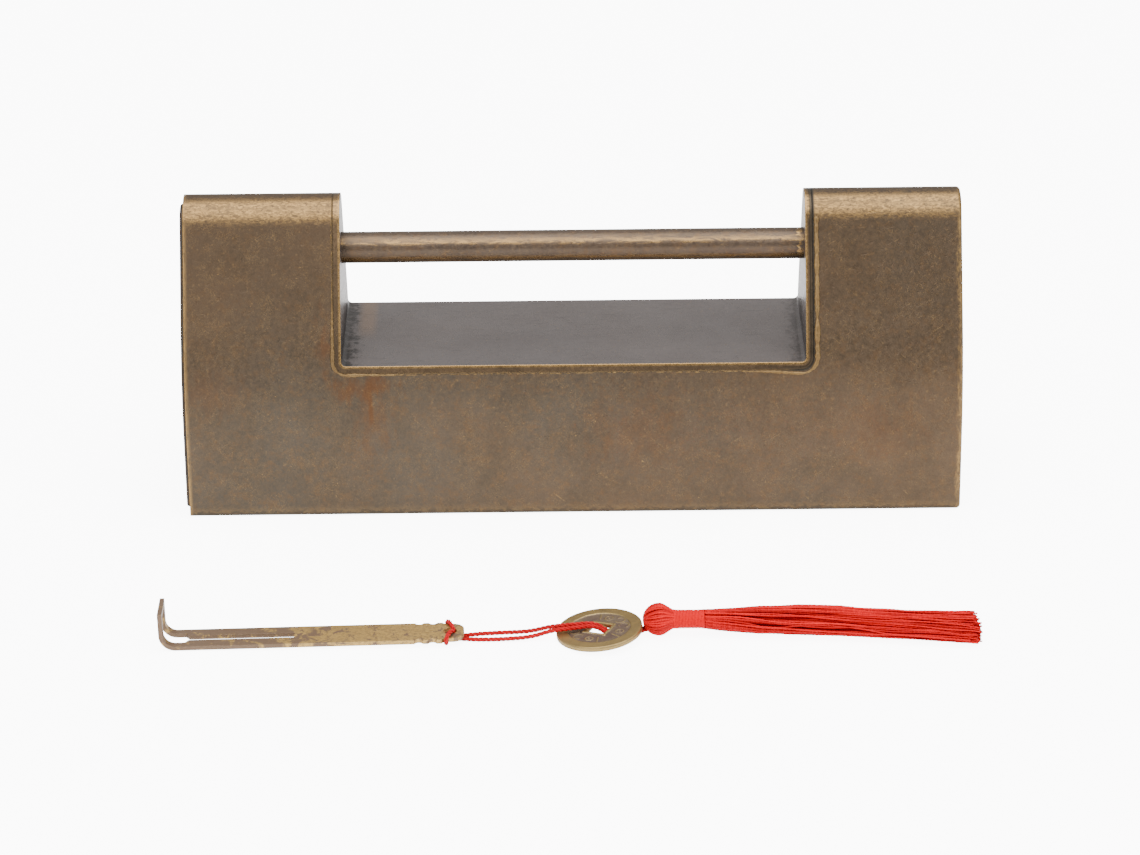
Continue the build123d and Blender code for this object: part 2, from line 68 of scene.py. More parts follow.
class Graph:
    """Adds nodes to one node tree and links them."""

    def __init__(self, tree: bpy.types.NodeTree) -> None:
        """Keep the tree that the nodes go into."""
        self.tree = tree

    def node(self, kind: str, **settings: object) -> bpy.types.Node:
        """Add a node.

        Args:
            kind: The node's type, without its ShaderNode prefix.
            settings: Properties to set on it.

        Returns:
            The new node.
        """
        made = self.tree.nodes.new("ShaderNode" + kind)
        for name, value in settings.items():
            setattr(made, name, value)
        return made

    def feed(self, socket: Socket, value: Value) -> None:
        """Link a socket to another, or set its own value.

        Args:
            socket: The input.
            value: The other socket, or the value.
        """
        if isinstance(value, Socket):
            self.tree.links.new(value, socket)
        elif isinstance(value, tuple) and len(value) == 3 and socket.type == "RGBA":
            socket.default_value = (*value, 1.0)
        else:
            socket.default_value = value

    def math(self, operation: str, a: Value, b: Value = 0.0, clamp: bool = False) -> Socket:
        """Add a Math node.

        Args:
            operation: What it does.
            a: Its first value.
            b: Its second value.
            clamp: Whether the result is held between 0 and 1.

        Returns:
            The result.
        """
        made = self.node("Math", operation=operation, use_clamp=clamp)
        self.feed(made.inputs[0], a)
        self.feed(made.inputs[1], b)
        return made.outputs[0]

    def product(self, first: Value, *others: Value) -> Socket:
        """Multiply several values.

        Args:
            first: The first value.
            others: The rest.

        Returns:
            Their product.
        """
        result = first
        for other in others:
            result = self.math("MULTIPLY", result, other)
        return result

    def span(
        self, value: Value, low: float, high: float, to_low: float = 0.0, to_high: float = 1.0
    ) -> Socket:
        """Map a value smoothly from low..high to to_low..to_high, held at the ends.

        Args:
            value: The value to map.
            low: Where the result is to_low.
            high: Where the result is to_high.
            to_low: The result at low.
            to_high: The result at high.

        Returns:
            The mapped value.
        """
        made = self.node("MapRange", interpolation_type="SMOOTHSTEP", clamp=True)
        for socket, number in zip(made.inputs[:5], (value, low, high, to_low, to_high)):
            self.feed(socket, number)
        return made.outputs[0]

    def mix(self, factor: Value, a: Value, b: Value, blend: str = "MIX") -> Socket:
        """Mix two colours.

        Args:
            factor: How much of the second one shows.
            a: The first colour.
            b: The second colour.
            blend: How they are blended.

        Returns:
            The mixed colour.
        """
        made = self.node("Mix", data_type="RGBA", blend_type=blend, clamp_factor=True)
        self.feed(made.inputs[0], factor)
        self.feed(made.inputs[6], a)
        self.feed(made.inputs[7], b)
        return made.outputs[2]

    def axes(self, vector: Value) -> tuple[Socket, ...]:
        """Split a vector.

        Args:
            vector: The vector.

        Returns:
            Its X, Y and Z.
        """
        made = self.node("SeparateXYZ")
        self.feed(made.inputs[0], vector)
        return tuple(made.outputs)

    def place(self) -> Socket:
        """Return the object coordinates, which are the frame's own metres."""
        return self.node("TexCoord").outputs["Object"]

    def turned(self, vector: Value, turn: tuple[float, ...], scale: tuple[float, ...]) -> Socket:
        """Turn and stretch coordinates.

        Args:
            vector: The coordinates.
            turn: Turns about X, Y and Z, in radians.
            scale: Stretch along X, Y and Z, after the turn.

        Returns:
            The new coordinates.
        """
        spun = self.node("VectorRotate", rotation_type="EULER_XYZ")
        self.feed(spun.inputs["Vector"], vector)
        self.feed(spun.inputs["Rotation"], turn)
        made = self.node("VectorMath", operation="MULTIPLY")
        self.feed(made.inputs[0], spun.outputs[0])
        self.feed(made.inputs[1], scale)
        return made.outputs[0]

    def noise(
        self, vector: Value, scale: Value, detail: float = 3.0, rough: float = 0.55, bend: float = 0.0
    ) -> Socket:
        """Add a noise texture.

        Args:
            vector: The coordinates.
            scale: Its scale.
            detail: Its detail.
            rough: Its roughness.
            bend: Its distortion.

        Returns:
            The noise, from 0 to 1.
        """
        made = self.node("TexNoise")
        for name, value in (
            ("Vector", vector),
            ("Scale", scale),
            ("Detail", detail),
            ("Roughness", rough),
            ("Distortion", bend),
        ):
            self.feed(made.inputs[name], value)
        return made.outputs[0]

    def group(self, tree: bpy.types.NodeTree, **values: Value) -> dict[str, Socket]:
        """Place a node group.

        Args:
            tree: The group.
            values: What its inputs take, by name, with underscores for spaces.

        Returns:
            The group's outputs by name.
        """
        made = self.node("Group", node_tree=tree)
        for name, value in values.items():
            self.feed(made.inputs[name.replace("_", " ")], value)
        return {socket.name: socket for socket in made.outputs}


class Effect:
    """The shader effects that several finishes share, each made once as a node group."""

    @staticmethod
    def start(name: str, inputs: dict[str, float], outputs: tuple[str, ...]) -> tuple[Graph, dict, dict]:
        """Make an empty group with float inputs and outputs, and a Vector input called Place.

        Args:
            name: The group's name.
            inputs: Names and defaults of its float inputs.
            outputs: Names of its float outputs.

        Returns:
            The graph, its input sockets by name and its output sockets by name.
        """
        tree = bpy.data.node_groups.new(name, "ShaderNodeTree")
        tree.interface.new_socket("Place", in_out="INPUT", socket_type="NodeSocketVector")
        for label, default in inputs.items():
            made = tree.interface.new_socket(label, in_out="INPUT", socket_type="NodeSocketFloat")
            made.default_value = default
        for label in outputs:
            tree.interface.new_socket(label, in_out="OUTPUT", socket_type="NodeSocketFloat")
        entry = tree.nodes.new("NodeGroupInput")
        leave = tree.nodes.new("NodeGroupOutput")
        ins = {socket.name: socket for socket in entry.outputs}
        outs = {socket.name: socket for socket in leave.inputs}
        return Graph(tree), ins, outs

    @staticmethod
    @cache
    def edge_wear() -> bpy.types.NodeTree:
        """Find outward edges, broken up as rubbing breaks them, and hollows.

        Returns:
            The node group.
        """
        graph, ins, outs = Effect.start("edge_wear", {"Width": 0.0006, "Break": 900.0}, ("Mask", "Hollow"))
        bevel = graph.node("Bevel", samples=6)
        graph.feed(bevel.inputs["Radius"], ins["Width"])
        flat = graph.node("NewGeometry").outputs["Normal"]
        dot = graph.node("VectorMath", operation="DOT_PRODUCT")
        graph.feed(dot.inputs[0], bevel.outputs[0])
        graph.feed(dot.inputs[1], flat)
        bend = graph.math("SUBTRACT", 1.0, dot.outputs["Value"])
        # Ambient occlusion finds the hollows, which keep out the wear and take painted shade.
        closed = graph.node("AmbientOcclusion", samples=6, only_local=False)
        closed.inputs["Distance"].default_value = 0.004
        hollow = graph.span(closed.outputs["AO"], 0.86, 0.45)
        broken = graph.noise(ins["Place"], ins["Break"], 4.0, 0.7)
        strong = graph.math("ADD", bend, graph.span(broken, 0.3, 0.75, -0.06, 0.06))
        edge = graph.span(strong, 0.02, 0.16)
        graph.feed(outs["Mask"], graph.product(edge, graph.math("SUBTRACT", 1.0, hollow)))
        graph.feed(outs["Hollow"], hollow)
        return graph.tree

    @staticmethod
    @cache
    def flecks() -> bpy.types.NodeTree:
        """Scatter short rubbed flecks and a few long hairlines, in several directions.

        Returns:
            The node group.
        """
        graph, ins, outs = Effect.start("flecks", {"Amount": 0.5}, ("Mask", "Long"))
        place = ins["Place"]
        clumps = graph.noise(place, 170.0, 4.0, 0.7)
        total: Value = 0.0
        for turn in (0.35, 1.6, 2.6):
            fine = graph.turned(place, (0.2, turn, 0.15 * turn), (2900.0, 3900.0, 4300.0))
            dash = graph.noise(fine, 1.0, 2.0, 0.6, 2.2)
            total = graph.math("MAXIMUM", total, graph.span(dash, 0.62, 0.74))
        wide = graph.turned(place, (0.0, 0.5, 0.0), (1300.0, 2000.0, 2200.0))
        coarse = graph.noise(wide, 1.0, 3.0, 0.65, 1.8)
        low = graph.span(graph.noise(place, 60.0, 3.0, 0.6), 0.40, 0.60, 0.35, 1.0)
        total = graph.math("MAXIMUM", total, graph.product(graph.span(coarse, 0.645, 0.71), low, 1.5))
        level = graph.math("ADD", clumps, ins["Amount"])
        graph.feed(outs["Mask"], graph.product(total, graph.span(level, 0.88, 1.12)))
        long_total: Value = 0.0
        for turn in (0.55, 2.45, 1.9):
            streak = graph.turned(place, (0.1, turn, 0.2), (60.0, 500.0, 5200.0))
            thin = graph.noise(streak, 1.0, 0.0, 0.5)
            long_total = graph.math("MAXIMUM", long_total, graph.span(thin, 0.80, 0.82))
        graph.feed(outs["Long"], graph.product(long_total, graph.span(clumps, 0.53, 0.60)))
        return graph.tree

    @staticmethod
    @cache
    def clouds() -> bpy.types.NodeTree:
        """Make broad, middle and fine mottling.

        Returns:
            The node group.
        """
        graph, ins, outs = Effect.start("clouds", {"Size": 1.0}, ("Broad", "Middle", "Fine"))
        for label, scale, detail, rough in (
            ("Broad", 16.0, 2.0, 0.5),
            ("Middle", 75.0, 5.0, 0.62),
            ("Fine", 950.0, 4.0, 0.75),
        ):
            size = graph.math("MULTIPLY", ins["Size"], scale)
            value = graph.noise(ins["Place"], size, detail, rough, 0.4)
            graph.feed(outs[label], graph.span(value, 0.3, 0.7))
        return graph.tree

    @staticmethod
    @cache
    def seam() -> bpy.types.NodeTree:
        """Measure the distance outwards from the recess opening's edge, as seen from the front.

        Returns:
            The node group.
        """
        defaults = {"Side": 0.06, "Floor": 0.041, "Corner": 0.001}
        graph, ins, outs = Effect.start("seam", defaults, ("Distance",))
        split = graph.axes(ins["Place"])
        along = graph.math("ABSOLUTE", split[0])
        core_side = graph.math("SUBTRACT", ins["Side"], ins["Corner"])
        core_floor = graph.math("ADD", ins["Floor"], ins["Corner"])
        out_side = graph.math("SUBTRACT", along, core_side)
        out_floor = graph.math("SUBTRACT", core_floor, split[2])
        side = graph.math("MAXIMUM", out_side, 0.0)
        down = graph.math("MAXIMUM", out_floor, 0.0)
        squares = graph.math("ADD", graph.product(side, side), graph.product(down, down))
        outside = graph.math("SQRT", squares)
        inside = graph.math("MINIMUM", graph.math("MAXIMUM", out_side, out_floor), 0.0)
        reach = graph.math("ADD", outside, inside)
        graph.feed(outs["Distance"], graph.math("SUBTRACT", reach, ins["Corner"]))
        return graph.tree

    @staticmethod
    @cache
    def grain() -> bpy.types.NodeTree:
        """Make the surface height: hammered waves, tarnish grain and pits.

        Returns:
            The node group.
        """
        graph, ins, outs = Effect.start("grain", {"Wave": 1.0, "Tooth": 1.0}, ("Height",))
        wave = graph.product(graph.noise(ins["Place"], 45.0, 1.0, 0.4), ins["Wave"], 0.00022)
        tooth = graph.product(graph.noise(ins["Place"], 2200.0, 3.0, 0.6), ins["Tooth"], 0.000022)
        pits = graph.span(graph.noise(ins["Place"], 600.0, 2.0, 0.5), 0.3, 0.38, -0.00003, 0.0)
        height = graph.math("ADD", graph.math("ADD", wave, tooth), graph.product(pits, ins["Tooth"]))
        graph.feed(outs["Height"], height)
        return graph.tree


Colour = tuple[float, float, float]
# Colour of the painted shade in hollows.
HOLLOW_SHADE: Colour = (0.016, 0.013, 0.010)
# Colour of the painted shadow in the lining's lower corners.
LINING_CORNER_SHADE: Colour = (0.034, 0.029, 0.026)
TAN_STAIN: Colour = (0.25, 0.165, 0.110)
DRAWN_MARK: Colour = (0.072, 0.062, 0.058)
FLUX: Colour = (0.046, 0.037, 0.024)
GAP: Colour = (0.010, 0.009, 0.007)
EDGE_WARM: Colour = (0.100, 0.064, 0.034)
EDGE_DARK: Colour = (0.062, 0.041, 0.023)
UNTURNED = (0.0, 0.0, 0.0)


def start_material(name: str) -> tuple[bpy.types.Material, Graph, bpy.types.Node]:
    """Make a material with a Principled BSDF.

    Args:
        name: The material's name.

    Returns:
        The material, its graph and its shader node.
    """
    material = bpy.data.materials.new(name)
    material.use_nodes = True
    graph = Graph(material.node_tree)
    shader = next(node for node in material.node_tree.nodes if node.type == "BSDF_PRINCIPLED")
    return material, graph, shader


def add_bump(graph: Graph, shader: bpy.types.Node, height: Socket, soften: float = 0.0) -> None:
    """Feed a height to the shader's normal.

    Args:
        graph: The material's graph.
        shader: The Principled BSDF.
        height: The height, in metres.
        soften: Radius over which sharp edges look rounded, or 0.
    """
    bump = graph.node("Bump")
    bump.inputs["Strength"].default_value = 1.0
    bump.inputs["Distance"].default_value = 1.0
    graph.feed(bump.inputs["Height"], height)
    if soften:
        bevel = graph.node("Bevel", samples=6)
        bevel.inputs["Radius"].default_value = soften
        graph.feed(bump.inputs["Normal"], bevel.outputs[0])
    graph.feed(shader.inputs["Normal"], bump.outputs[0])


class SeamStyle(Enum):
    """How a finish treats the joint round the recess."""

    NONE = "none"
    SKIN = "skin"
    LINING = "lining"


@dataclass(frozen=True)
class RecessPlace:
    """Where the recess lies, seen from the front."""

    side: float
    floor: float
    corner: float
    lining: float

    @classmethod
    def read(cls) -> "RecessPlace":
        """Work it out from the lining's box and the wall's known thickness.

        Returns:
            The place.
        """
        low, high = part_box("recess_lining")
        lining = 1.9 * MM
        return cls(side=high.x - lining, floor=low.z + lining, corner=1.2 * MM, lining=lining)


@dataclass(frozen=True)
class RubAndHighlight:
    """A band across one axis that shows bare metal: rubbed wear on the foot and the bar's ring, painted
    highlight lines along the bar, and both on the ridge and the case's ends; it grows from start to full and
    fades out by the end.
    """

    axis: int
    start: float
    full: float
    fade: float
    end: float
    strength: float
    ragged: float = 0.0008
    streaks: tuple[float, float, float] = (420.0, 900.0, 900.0)

    def mask(self, graph: Graph, place: Socket) -> Socket:
        """Work out how strong the band is: bare metal, which on the highlight bands is painted highlight.

        Args:
            graph: The material's graph.
            place: The coordinates.

        Returns:
            The band's strength, from 0 to 1.
        """
        split = graph.axes(place)
        streaks = graph.noise(graph.turned(place, UNTURNED, self.streaks), 1.0, 5.0, 0.72, 0.8)
        shift = graph.span(streaks, 0.3, 0.7, -self.ragged, self.ragged)
        at = graph.math("ADD", split[self.axis], shift)
        grown = graph.span(at, self.start, self.full)
        band = graph.product(grown, graph.span(at, self.fade, self.end, 1.0, 0.0))
        return graph.product(band, graph.span(streaks, 0.36, 0.64, 0.15, 1.0), self.strength)


@dataclass(frozen=True)
class Stain:
    """A soft ragged oval on the case's faces: its middle, its reach each way and its strength."""

    across: float
    height: float
    width: float
    drop: float
    amount: float

    def mask(self, graph: Graph, flat: Socket, ragged: Socket) -> Socket:
        """Work out how strong the stain is.

        Args:
            graph: The material's graph.
            flat: The coordinates without their depth.
            ragged: Noise that breaks its edge.

        Returns:
            The strength, from 0 to the stain's amount.
        """
        gap = graph.node("VectorMath", operation="SUBTRACT")
        graph.feed(gap.inputs[0], flat)
        gap.inputs[1].default_value = (self.across, 0.0, self.height)
        scaled = graph.node("VectorMath", operation="MULTIPLY")
        graph.feed(scaled.inputs[0], gap.outputs[0])
        scaled.inputs[1].default_value = (1.0 / self.width, 0.0, 1.0 / self.drop)
        reach = graph.node("VectorMath", operation="LENGTH")
        graph.feed(reach.inputs[0], scaled.outputs[0])
        level = graph.math("ADD", reach.outputs["Value"], graph.math("MULTIPLY", ragged, 0.75))
        return graph.span(level, 0.25, 1.3, self.amount, 0.0)


@dataclass(frozen=True)
class AgedBrass:
    """Brass under brown tarnish, rubbed back to metal on its edges and high places, with painted highlight
    bands and painted shade towards the top where a finish asks for them.
    """

    name: str
    deep: Colour
    body: Colour
    light: Colour
    metal: Colour = (0.42, 0.255, 0.095)
    cool: Colour = (0.060, 0.050, 0.038)
    rust: Colour = (0.095, 0.040, 0.014)
    amber: Colour = (0.125, 0.066, 0.026)
    # Colour of the painted shade towards the top.
    painted_upper_shade: Colour = (0.040, 0.023, 0.0105)
    warmth: float = 0.40
    painted_upper_shade_amount: float = 0.0
    metallic: float = 0.72
    roughness: float = 0.46
    edge_width: float = 0.0007
    edge_amount: float = 0.9
    foot_wear: float = 1.0
    fleck_amount: float = 0.48
    fleck_strength: float = 0.52
    wave: float = 1.0
    tooth: float = 1.0
    rubs_and_highlights: tuple[RubAndHighlight, ...] = ()
    rust_spots: bool = False
    seam: SeamStyle = SeamStyle.NONE

    def build(self, recess: RecessPlace) -> bpy.types.Material:
        """Make the material.

        Args:
            recess: Where the recess lies, for the dark joint and the stains beside it.

        Returns:
            The finished material.
        """
        material, graph, shader = start_material(self.name)
        place = graph.place()
        clouds = graph.group(Effect.clouds(), Place=place)
        wear = graph.group(Effect.edge_wear(), Place=place, Width=self.edge_width)
        flecks = graph.group(Effect.flecks(), Place=place, Amount=self.fleck_amount)
        colour = graph.mix(clouds["Broad"], self.cool, self.body)
        colour = graph.mix(graph.product(clouds["Middle"], 0.55), colour, self.deep)
        colour = graph.mix(graph.product(clouds["Fine"], 0.45), colour, self.light)
        warm = graph.span(graph.noise(place, 420.0, 6.0, 0.78), 0.47, 0.66)
        colour = graph.mix(graph.product(warm, self.warmth), colour, self.amber)
        split = graph.axes(place)
        # Painted shade: the colour darkens towards the top of the part.
        painted_upper_shade = graph.span(split[2], 0.026, 0.062, 0.0, self.painted_upper_shade_amount)
        colour = graph.mix(painted_upper_shade, colour, self.painted_upper_shade)
        worn = graph.product(wear["Mask"], self.edge_amount)
        worn = graph.product(worn, graph.span(split[2], 0.0004, 0.0016, self.foot_wear, 1.0))
        bare_and_lit: Value = graph.product(flecks["Mask"], self.fleck_strength)
        bare_and_lit = graph.math("MAXIMUM", bare_and_lit, graph.product(flecks["Long"], self.fleck_strength * 0.45))
        bare_and_lit = graph.math("MAXIMUM", bare_and_lit, worn)
        # Each band is rubbed wear, painted highlight or both, as given in the finishes.
        for rub_and_highlight in self.rubs_and_highlights:
            rubbed = rub_and_highlight.mask(graph, place)
            if self.seam is SeamStyle.LINING:
                rubbed = graph.product(rubbed, self.outer_band(graph, place))
            bare_and_lit = graph.math("MAXIMUM", bare_and_lit, rubbed)
        if self.rust_spots:
            colour = self.stains(graph, place, colour, recess)
        if self.seam is SeamStyle.LINING:
            colour = self.lining_marks(graph, place, colour, recess)
        if self.seam is not SeamStyle.NONE:
            colour, bare_and_lit = self.joint(graph, place, clouds, colour, bare_and_lit, recess)
        # Painted shade: darker in hollows and where other surfaces lie near, by ambient occlusion.
        colour = graph.mix(graph.product(wear["Hollow"], 0.5), colour, HOLLOW_SHADE)
        colour = graph.mix(bare_and_lit, colour, self.metal)
        graph.feed(shader.inputs["Base Color"], colour)
        graph.feed(shader.inputs["Metallic"], graph.span(bare_and_lit, 0.0, 0.6, self.metallic, 1.0))
        rough = graph.math("ADD", self.roughness - 0.08, graph.product(clouds["Fine"], 0.16))
        graph.feed(shader.inputs["Roughness"], graph.math("SUBTRACT", rough, graph.product(bare_and_lit, 0.14)))
        grain = graph.group(Effect.grain(), Place=place, Wave=self.wave, Tooth=self.tooth)
        cut = graph.product(flecks["Long"], -0.00002)
        add_bump(graph, shader, graph.math("ADD", grain["Height"], cut), 0.0004)
        return material

    def joint(
        self,
        graph: Graph,
        place: Socket,
        clouds: dict[str, Socket],
        colour: Socket,
        bare_and_lit: Socket,
        recess: RecessPlace,
    ) -> tuple[Socket, Socket]:
        """Draw the joint between the lining and the skin, with its dark flux at the keyhole horn.

        Args:
            graph: The material's graph.
            place: The coordinates.
            clouds: The mottling.
            colour: The colour so far.
            bare_and_lit: How bare the metal is so far, with any painted highlight.
            recess: Where the recess lies.

        Returns:
            The new colour and the new mask of bare metal and painted highlight.
        """
        edge = {"Side": recess.side, "Floor": recess.floor, "Corner": recess.corner}
        distance = graph.group(Effect.seam(), Place=place, **edge)["Distance"]
        split = graph.axes(place)
        keyhole_side = graph.span(split[0], recess.side - 0.012, recess.side - 0.002)
        flux = graph.product(
            keyhole_side, graph.span(distance, 0.0010, 0.0014), graph.span(distance, 0.0022, 0.0026, 1.0, 0.0)
        )
        line = graph.math("ABSOLUTE", graph.math("SUBTRACT", distance, recess.lining))
        thin = graph.span(line, 0.00010, 0.00038, 0.75, 0.0)
        second = graph.math("ABSOLUTE", graph.math("SUBTRACT", distance, 0.00118))
        second = graph.product(keyhole_side, graph.span(second, 0.00006, 0.00028, 0.6, 0.0))
        thin = graph.math("MAXIMUM", thin, second)
        if self.seam is SeamStyle.LINING:
            band = self.outer_band(graph, place)
            warm = graph.mix(clouds["Middle"], EDGE_WARM, EDGE_DARK)
            colour = graph.mix(band, colour, warm)
            inner = graph.span(distance, 0.00025, 0.00075, 0.75, 0.0)
            inner = graph.product(inner, band, graph.span(clouds["Fine"], 0.0, 1.0, 0.7, 1.0))
            bare_and_lit = graph.math("MAXIMUM", bare_and_lit, inner)
            flux = graph.product(flux, band)
            thin = graph.product(thin, band)
        colour = graph.mix(graph.product(flux, 0.55), colour, FLUX)
        colour = graph.mix(thin, colour, GAP)
        bare_and_lit = graph.product(bare_and_lit, graph.math("SUBTRACT", 1.0, graph.math("MAXIMUM", flux, thin)))
        return colour, bare_and_lit

    def stains(self, graph: Graph, place: Socket, colour: Socket, recess: RecessPlace) -> Socket:
        """Lay the rust-brown stains, of which the strongest lie below the recess corner at the bolt's end.

        Args:
            graph: The material's graph.
            place: The coordinates.
            colour: The colour so far.
            recess: Where the recess lies.

        Returns:
            The new colour.
        """
        flat = graph.node("VectorMath", operation="MULTIPLY")
        graph.feed(flat.inputs[0], place)
        flat.inputs[1].default_value = (1.0, 0.0, 1.0)
        stretched = graph.turned(place, UNTURNED, (420.0, 200.0, 160.0))
        ragged = graph.span(graph.noise(stretched, 1.0, 5.0, 0.65), 0.3, 0.7)
        side, floor = recess.side, recess.floor
        for stain in (
            Stain(-side - 0.0042, floor + 0.0050, 0.0030, 0.0120, 0.62),
            Stain(-side + 0.0075, floor - 0.0110, 0.0010, 0.0080, 0.80),
            Stain(-side + 0.0060, floor - 0.0055, 0.0140, 0.0050, 0.78),
            Stain(-side + 0.0080, floor - 0.0150, 0.0075, 0.0150, 0.40),
            Stain(-side - 0.0350, floor - 0.0060, 0.0130, 0.0100, 0.30),
            Stain(side + 0.0200, floor - 0.0180, 0.0180, 0.0120, 0.26),
            Stain(0.0150, floor - 0.0180, 0.0220, 0.0160, 0.28),
        ):
            colour = graph.mix(stain.mask(graph, flat.outputs[0], ragged), colour, self.rust)
        return colour

    @staticmethod
    def lining_marks(graph: Graph, place: Socket, colour: Socket, recess: RecessPlace) -> Socket:
        """Paint shadow into the lining's lower corners, strongest at the bolt end, and add a warm stain and
        long faint drawing marks.

        Args:
            graph: The material's graph.
            place: The coordinates.
            colour: The colour so far.
            recess: Where the recess lies.

        Returns:
            The new colour.
        """
        across, depth, height = graph.axes(place)
        # Painted shadow in the lining's lower corners, stronger at the bolt end.
        ragged = graph.span(graph.noise(place, 500.0, 5.0, 0.7), 0.3, 0.7, -0.0030, 0.0030)
        near = graph.math("ADD", graph.math("ABSOLUTE", across), ragged)
        corner = graph.span(near, recess.side - 0.0045, recess.side - 0.0005)
        low = graph.span(height, recess.floor + 0.003, recess.floor + 0.011, 1.0, 0.0)
        painted_corner_shade = graph.product(corner, low, graph.span(across, -0.01, 0.01, 0.85, 0.45))
        colour = graph.mix(painted_corner_shade, colour, LINING_CORNER_SHADE)
        offset = graph.math("ABSOLUTE", graph.math("ADD", across, recess.side - 0.0058))
        stain = graph.product(
            graph.span(offset, 0.0008, 0.0032, 0.55, 0.0),
            graph.span(depth, -0.006, 0.006),
            graph.span(height, recess.floor + 0.002, recess.floor + 0.004, 1.0, 0.0),
        )
        colour = graph.mix(stain, colour, TAN_STAIN)
        drawn = graph.noise(graph.turned(place, (0.0, 0.0, 0.02), (140.0, 1700.0, 1700.0)), 1.0, 3.0, 0.6)
        return graph.mix(graph.span(drawn, 0.60, 0.74, 0.0, 0.6), colour, DRAWN_MARK)

    @staticmethod
    def outer_band(graph: Graph, place: Socket) -> Socket:
        """Find the lining's outer edge, which is flush with the case.

        Args:
            graph: The material's graph.
            place: The coordinates.

        Returns:
            1 on that edge and 0 inside the recess.
        """
        normal = graph.axes(graph.node("NewGeometry").outputs["Normal"])
        split = graph.axes(place)
        sideways = graph.span(graph.math("ABSOLUTE", normal[1]), 0.25, 0.5)
        ridge = graph.span(split[2], 0.070, 0.072)
        flat = graph.span(graph.math("ABSOLUTE", normal[0]), 0.85, 0.6)
        return graph.math("MAXIMUM", sideways, graph.product(ridge, flat))


@dataclass(frozen=True)
class KeyBrass:
    """Yellow brass under a thin brown tarnish that lies in patches, heavier towards the head."""

    name: str = "bright_brass"
    brown: Colour = (0.170, 0.108, 0.066)
    gold: Colour = (0.53, 0.345, 0.112)
    edge: Colour = (0.11, 0.072, 0.042)
    head_end: float = -0.075
    tail_end: float = -0.052

    def build(self) -> bpy.types.Material:
        """Make the material.

        Returns:
            The finished material.
        """
        material, graph, shader = start_material(self.name)
        place = graph.place()
        clouds = graph.group(Effect.clouds(), Place=place, Size=2.0)
        wear = graph.group(Effect.edge_wear(), Place=place, Width=0.0003)
        split = graph.axes(place)
        patch = graph.noise(place, 330.0, 6.0, 0.68, 0.5)
        towards_tail = graph.span(split[0], self.head_end, self.tail_end, -0.04, 0.10)
        level = graph.math("ADD", patch, towards_tail)
        speck = graph.span(graph.noise(place, 1300.0, 5.0, 0.78), 0.45, 0.60)
        gold = graph.mix(graph.product(speck, 0.62), self.gold, (0.24, 0.150, 0.070))
        brown = graph.mix(graph.product(clouds["Fine"], 0.5), self.brown, (0.145, 0.094, 0.060))
        colour = graph.mix(graph.span(level, 0.50, 0.58), brown, gold)
        colour = graph.mix(graph.product(wear["Mask"], 0.45), colour, self.edge)
        graph.feed(shader.inputs["Base Color"], colour)
        graph.feed(shader.inputs["Metallic"], graph.span(level, 0.50, 0.58, 0.55, 0.8))
        graph.feed(shader.inputs["Roughness"], graph.span(clouds["Fine"], 0.0, 1.0, 0.38, 0.52))
        grain = graph.group(Effect.grain(), Place=place, Wave=0.25, Tooth=1.0)
        add_bump(graph, shader, grain["Height"], 0.00025)
        return material


@dataclass(frozen=True)
class CoinBrass:
    """Struck brass, dark in its sunk field and rubbed light on its raised marks."""

    name: str = "coin_brass"
    high: Colour = (0.38, 0.26, 0.095)
    low: Colour = (0.080, 0.048, 0.036)

    def build(self) -> bpy.types.Material:
        """Make the material.

        Returns:
            The finished material.
        """
        material, graph, shader = start_material(self.name)
        place = graph.place()
        raised = graph.node("Attribute", attribute_name="raised").outputs["Fac"]
        clouds = graph.group(Effect.clouds(), Place=place, Size=4.0)
        level = graph.math("ADD", raised, graph.span(clouds["Fine"], 0.0, 1.0, -0.25, 0.25))
        mask = graph.span(level, 0.25, 0.75)
        high = graph.mix(graph.product(clouds["Middle"], 0.6), self.high, (0.20, 0.14, 0.07))
        high = graph.mix(graph.product(clouds["Fine"], 0.35), high, (0.24, 0.18, 0.08))
        low = graph.mix(graph.product(clouds["Middle"], 0.5), self.low, (0.17, 0.13, 0.07))
        graph.feed(shader.inputs["Base Color"], graph.mix(mask, low, high))
        graph.feed(shader.inputs["Roughness"], graph.span(mask, 0.0, 1.0, 0.62, 0.40))
        graph.feed(shader.inputs["Metallic"], graph.span(mask, 0.0, 1.0, 0.45, 0.85))
        grain = graph.group(Effect.grain(), Place=place, Wave=0.0, Tooth=1.2)
        add_bump(graph, shader, grain["Height"])
        return material


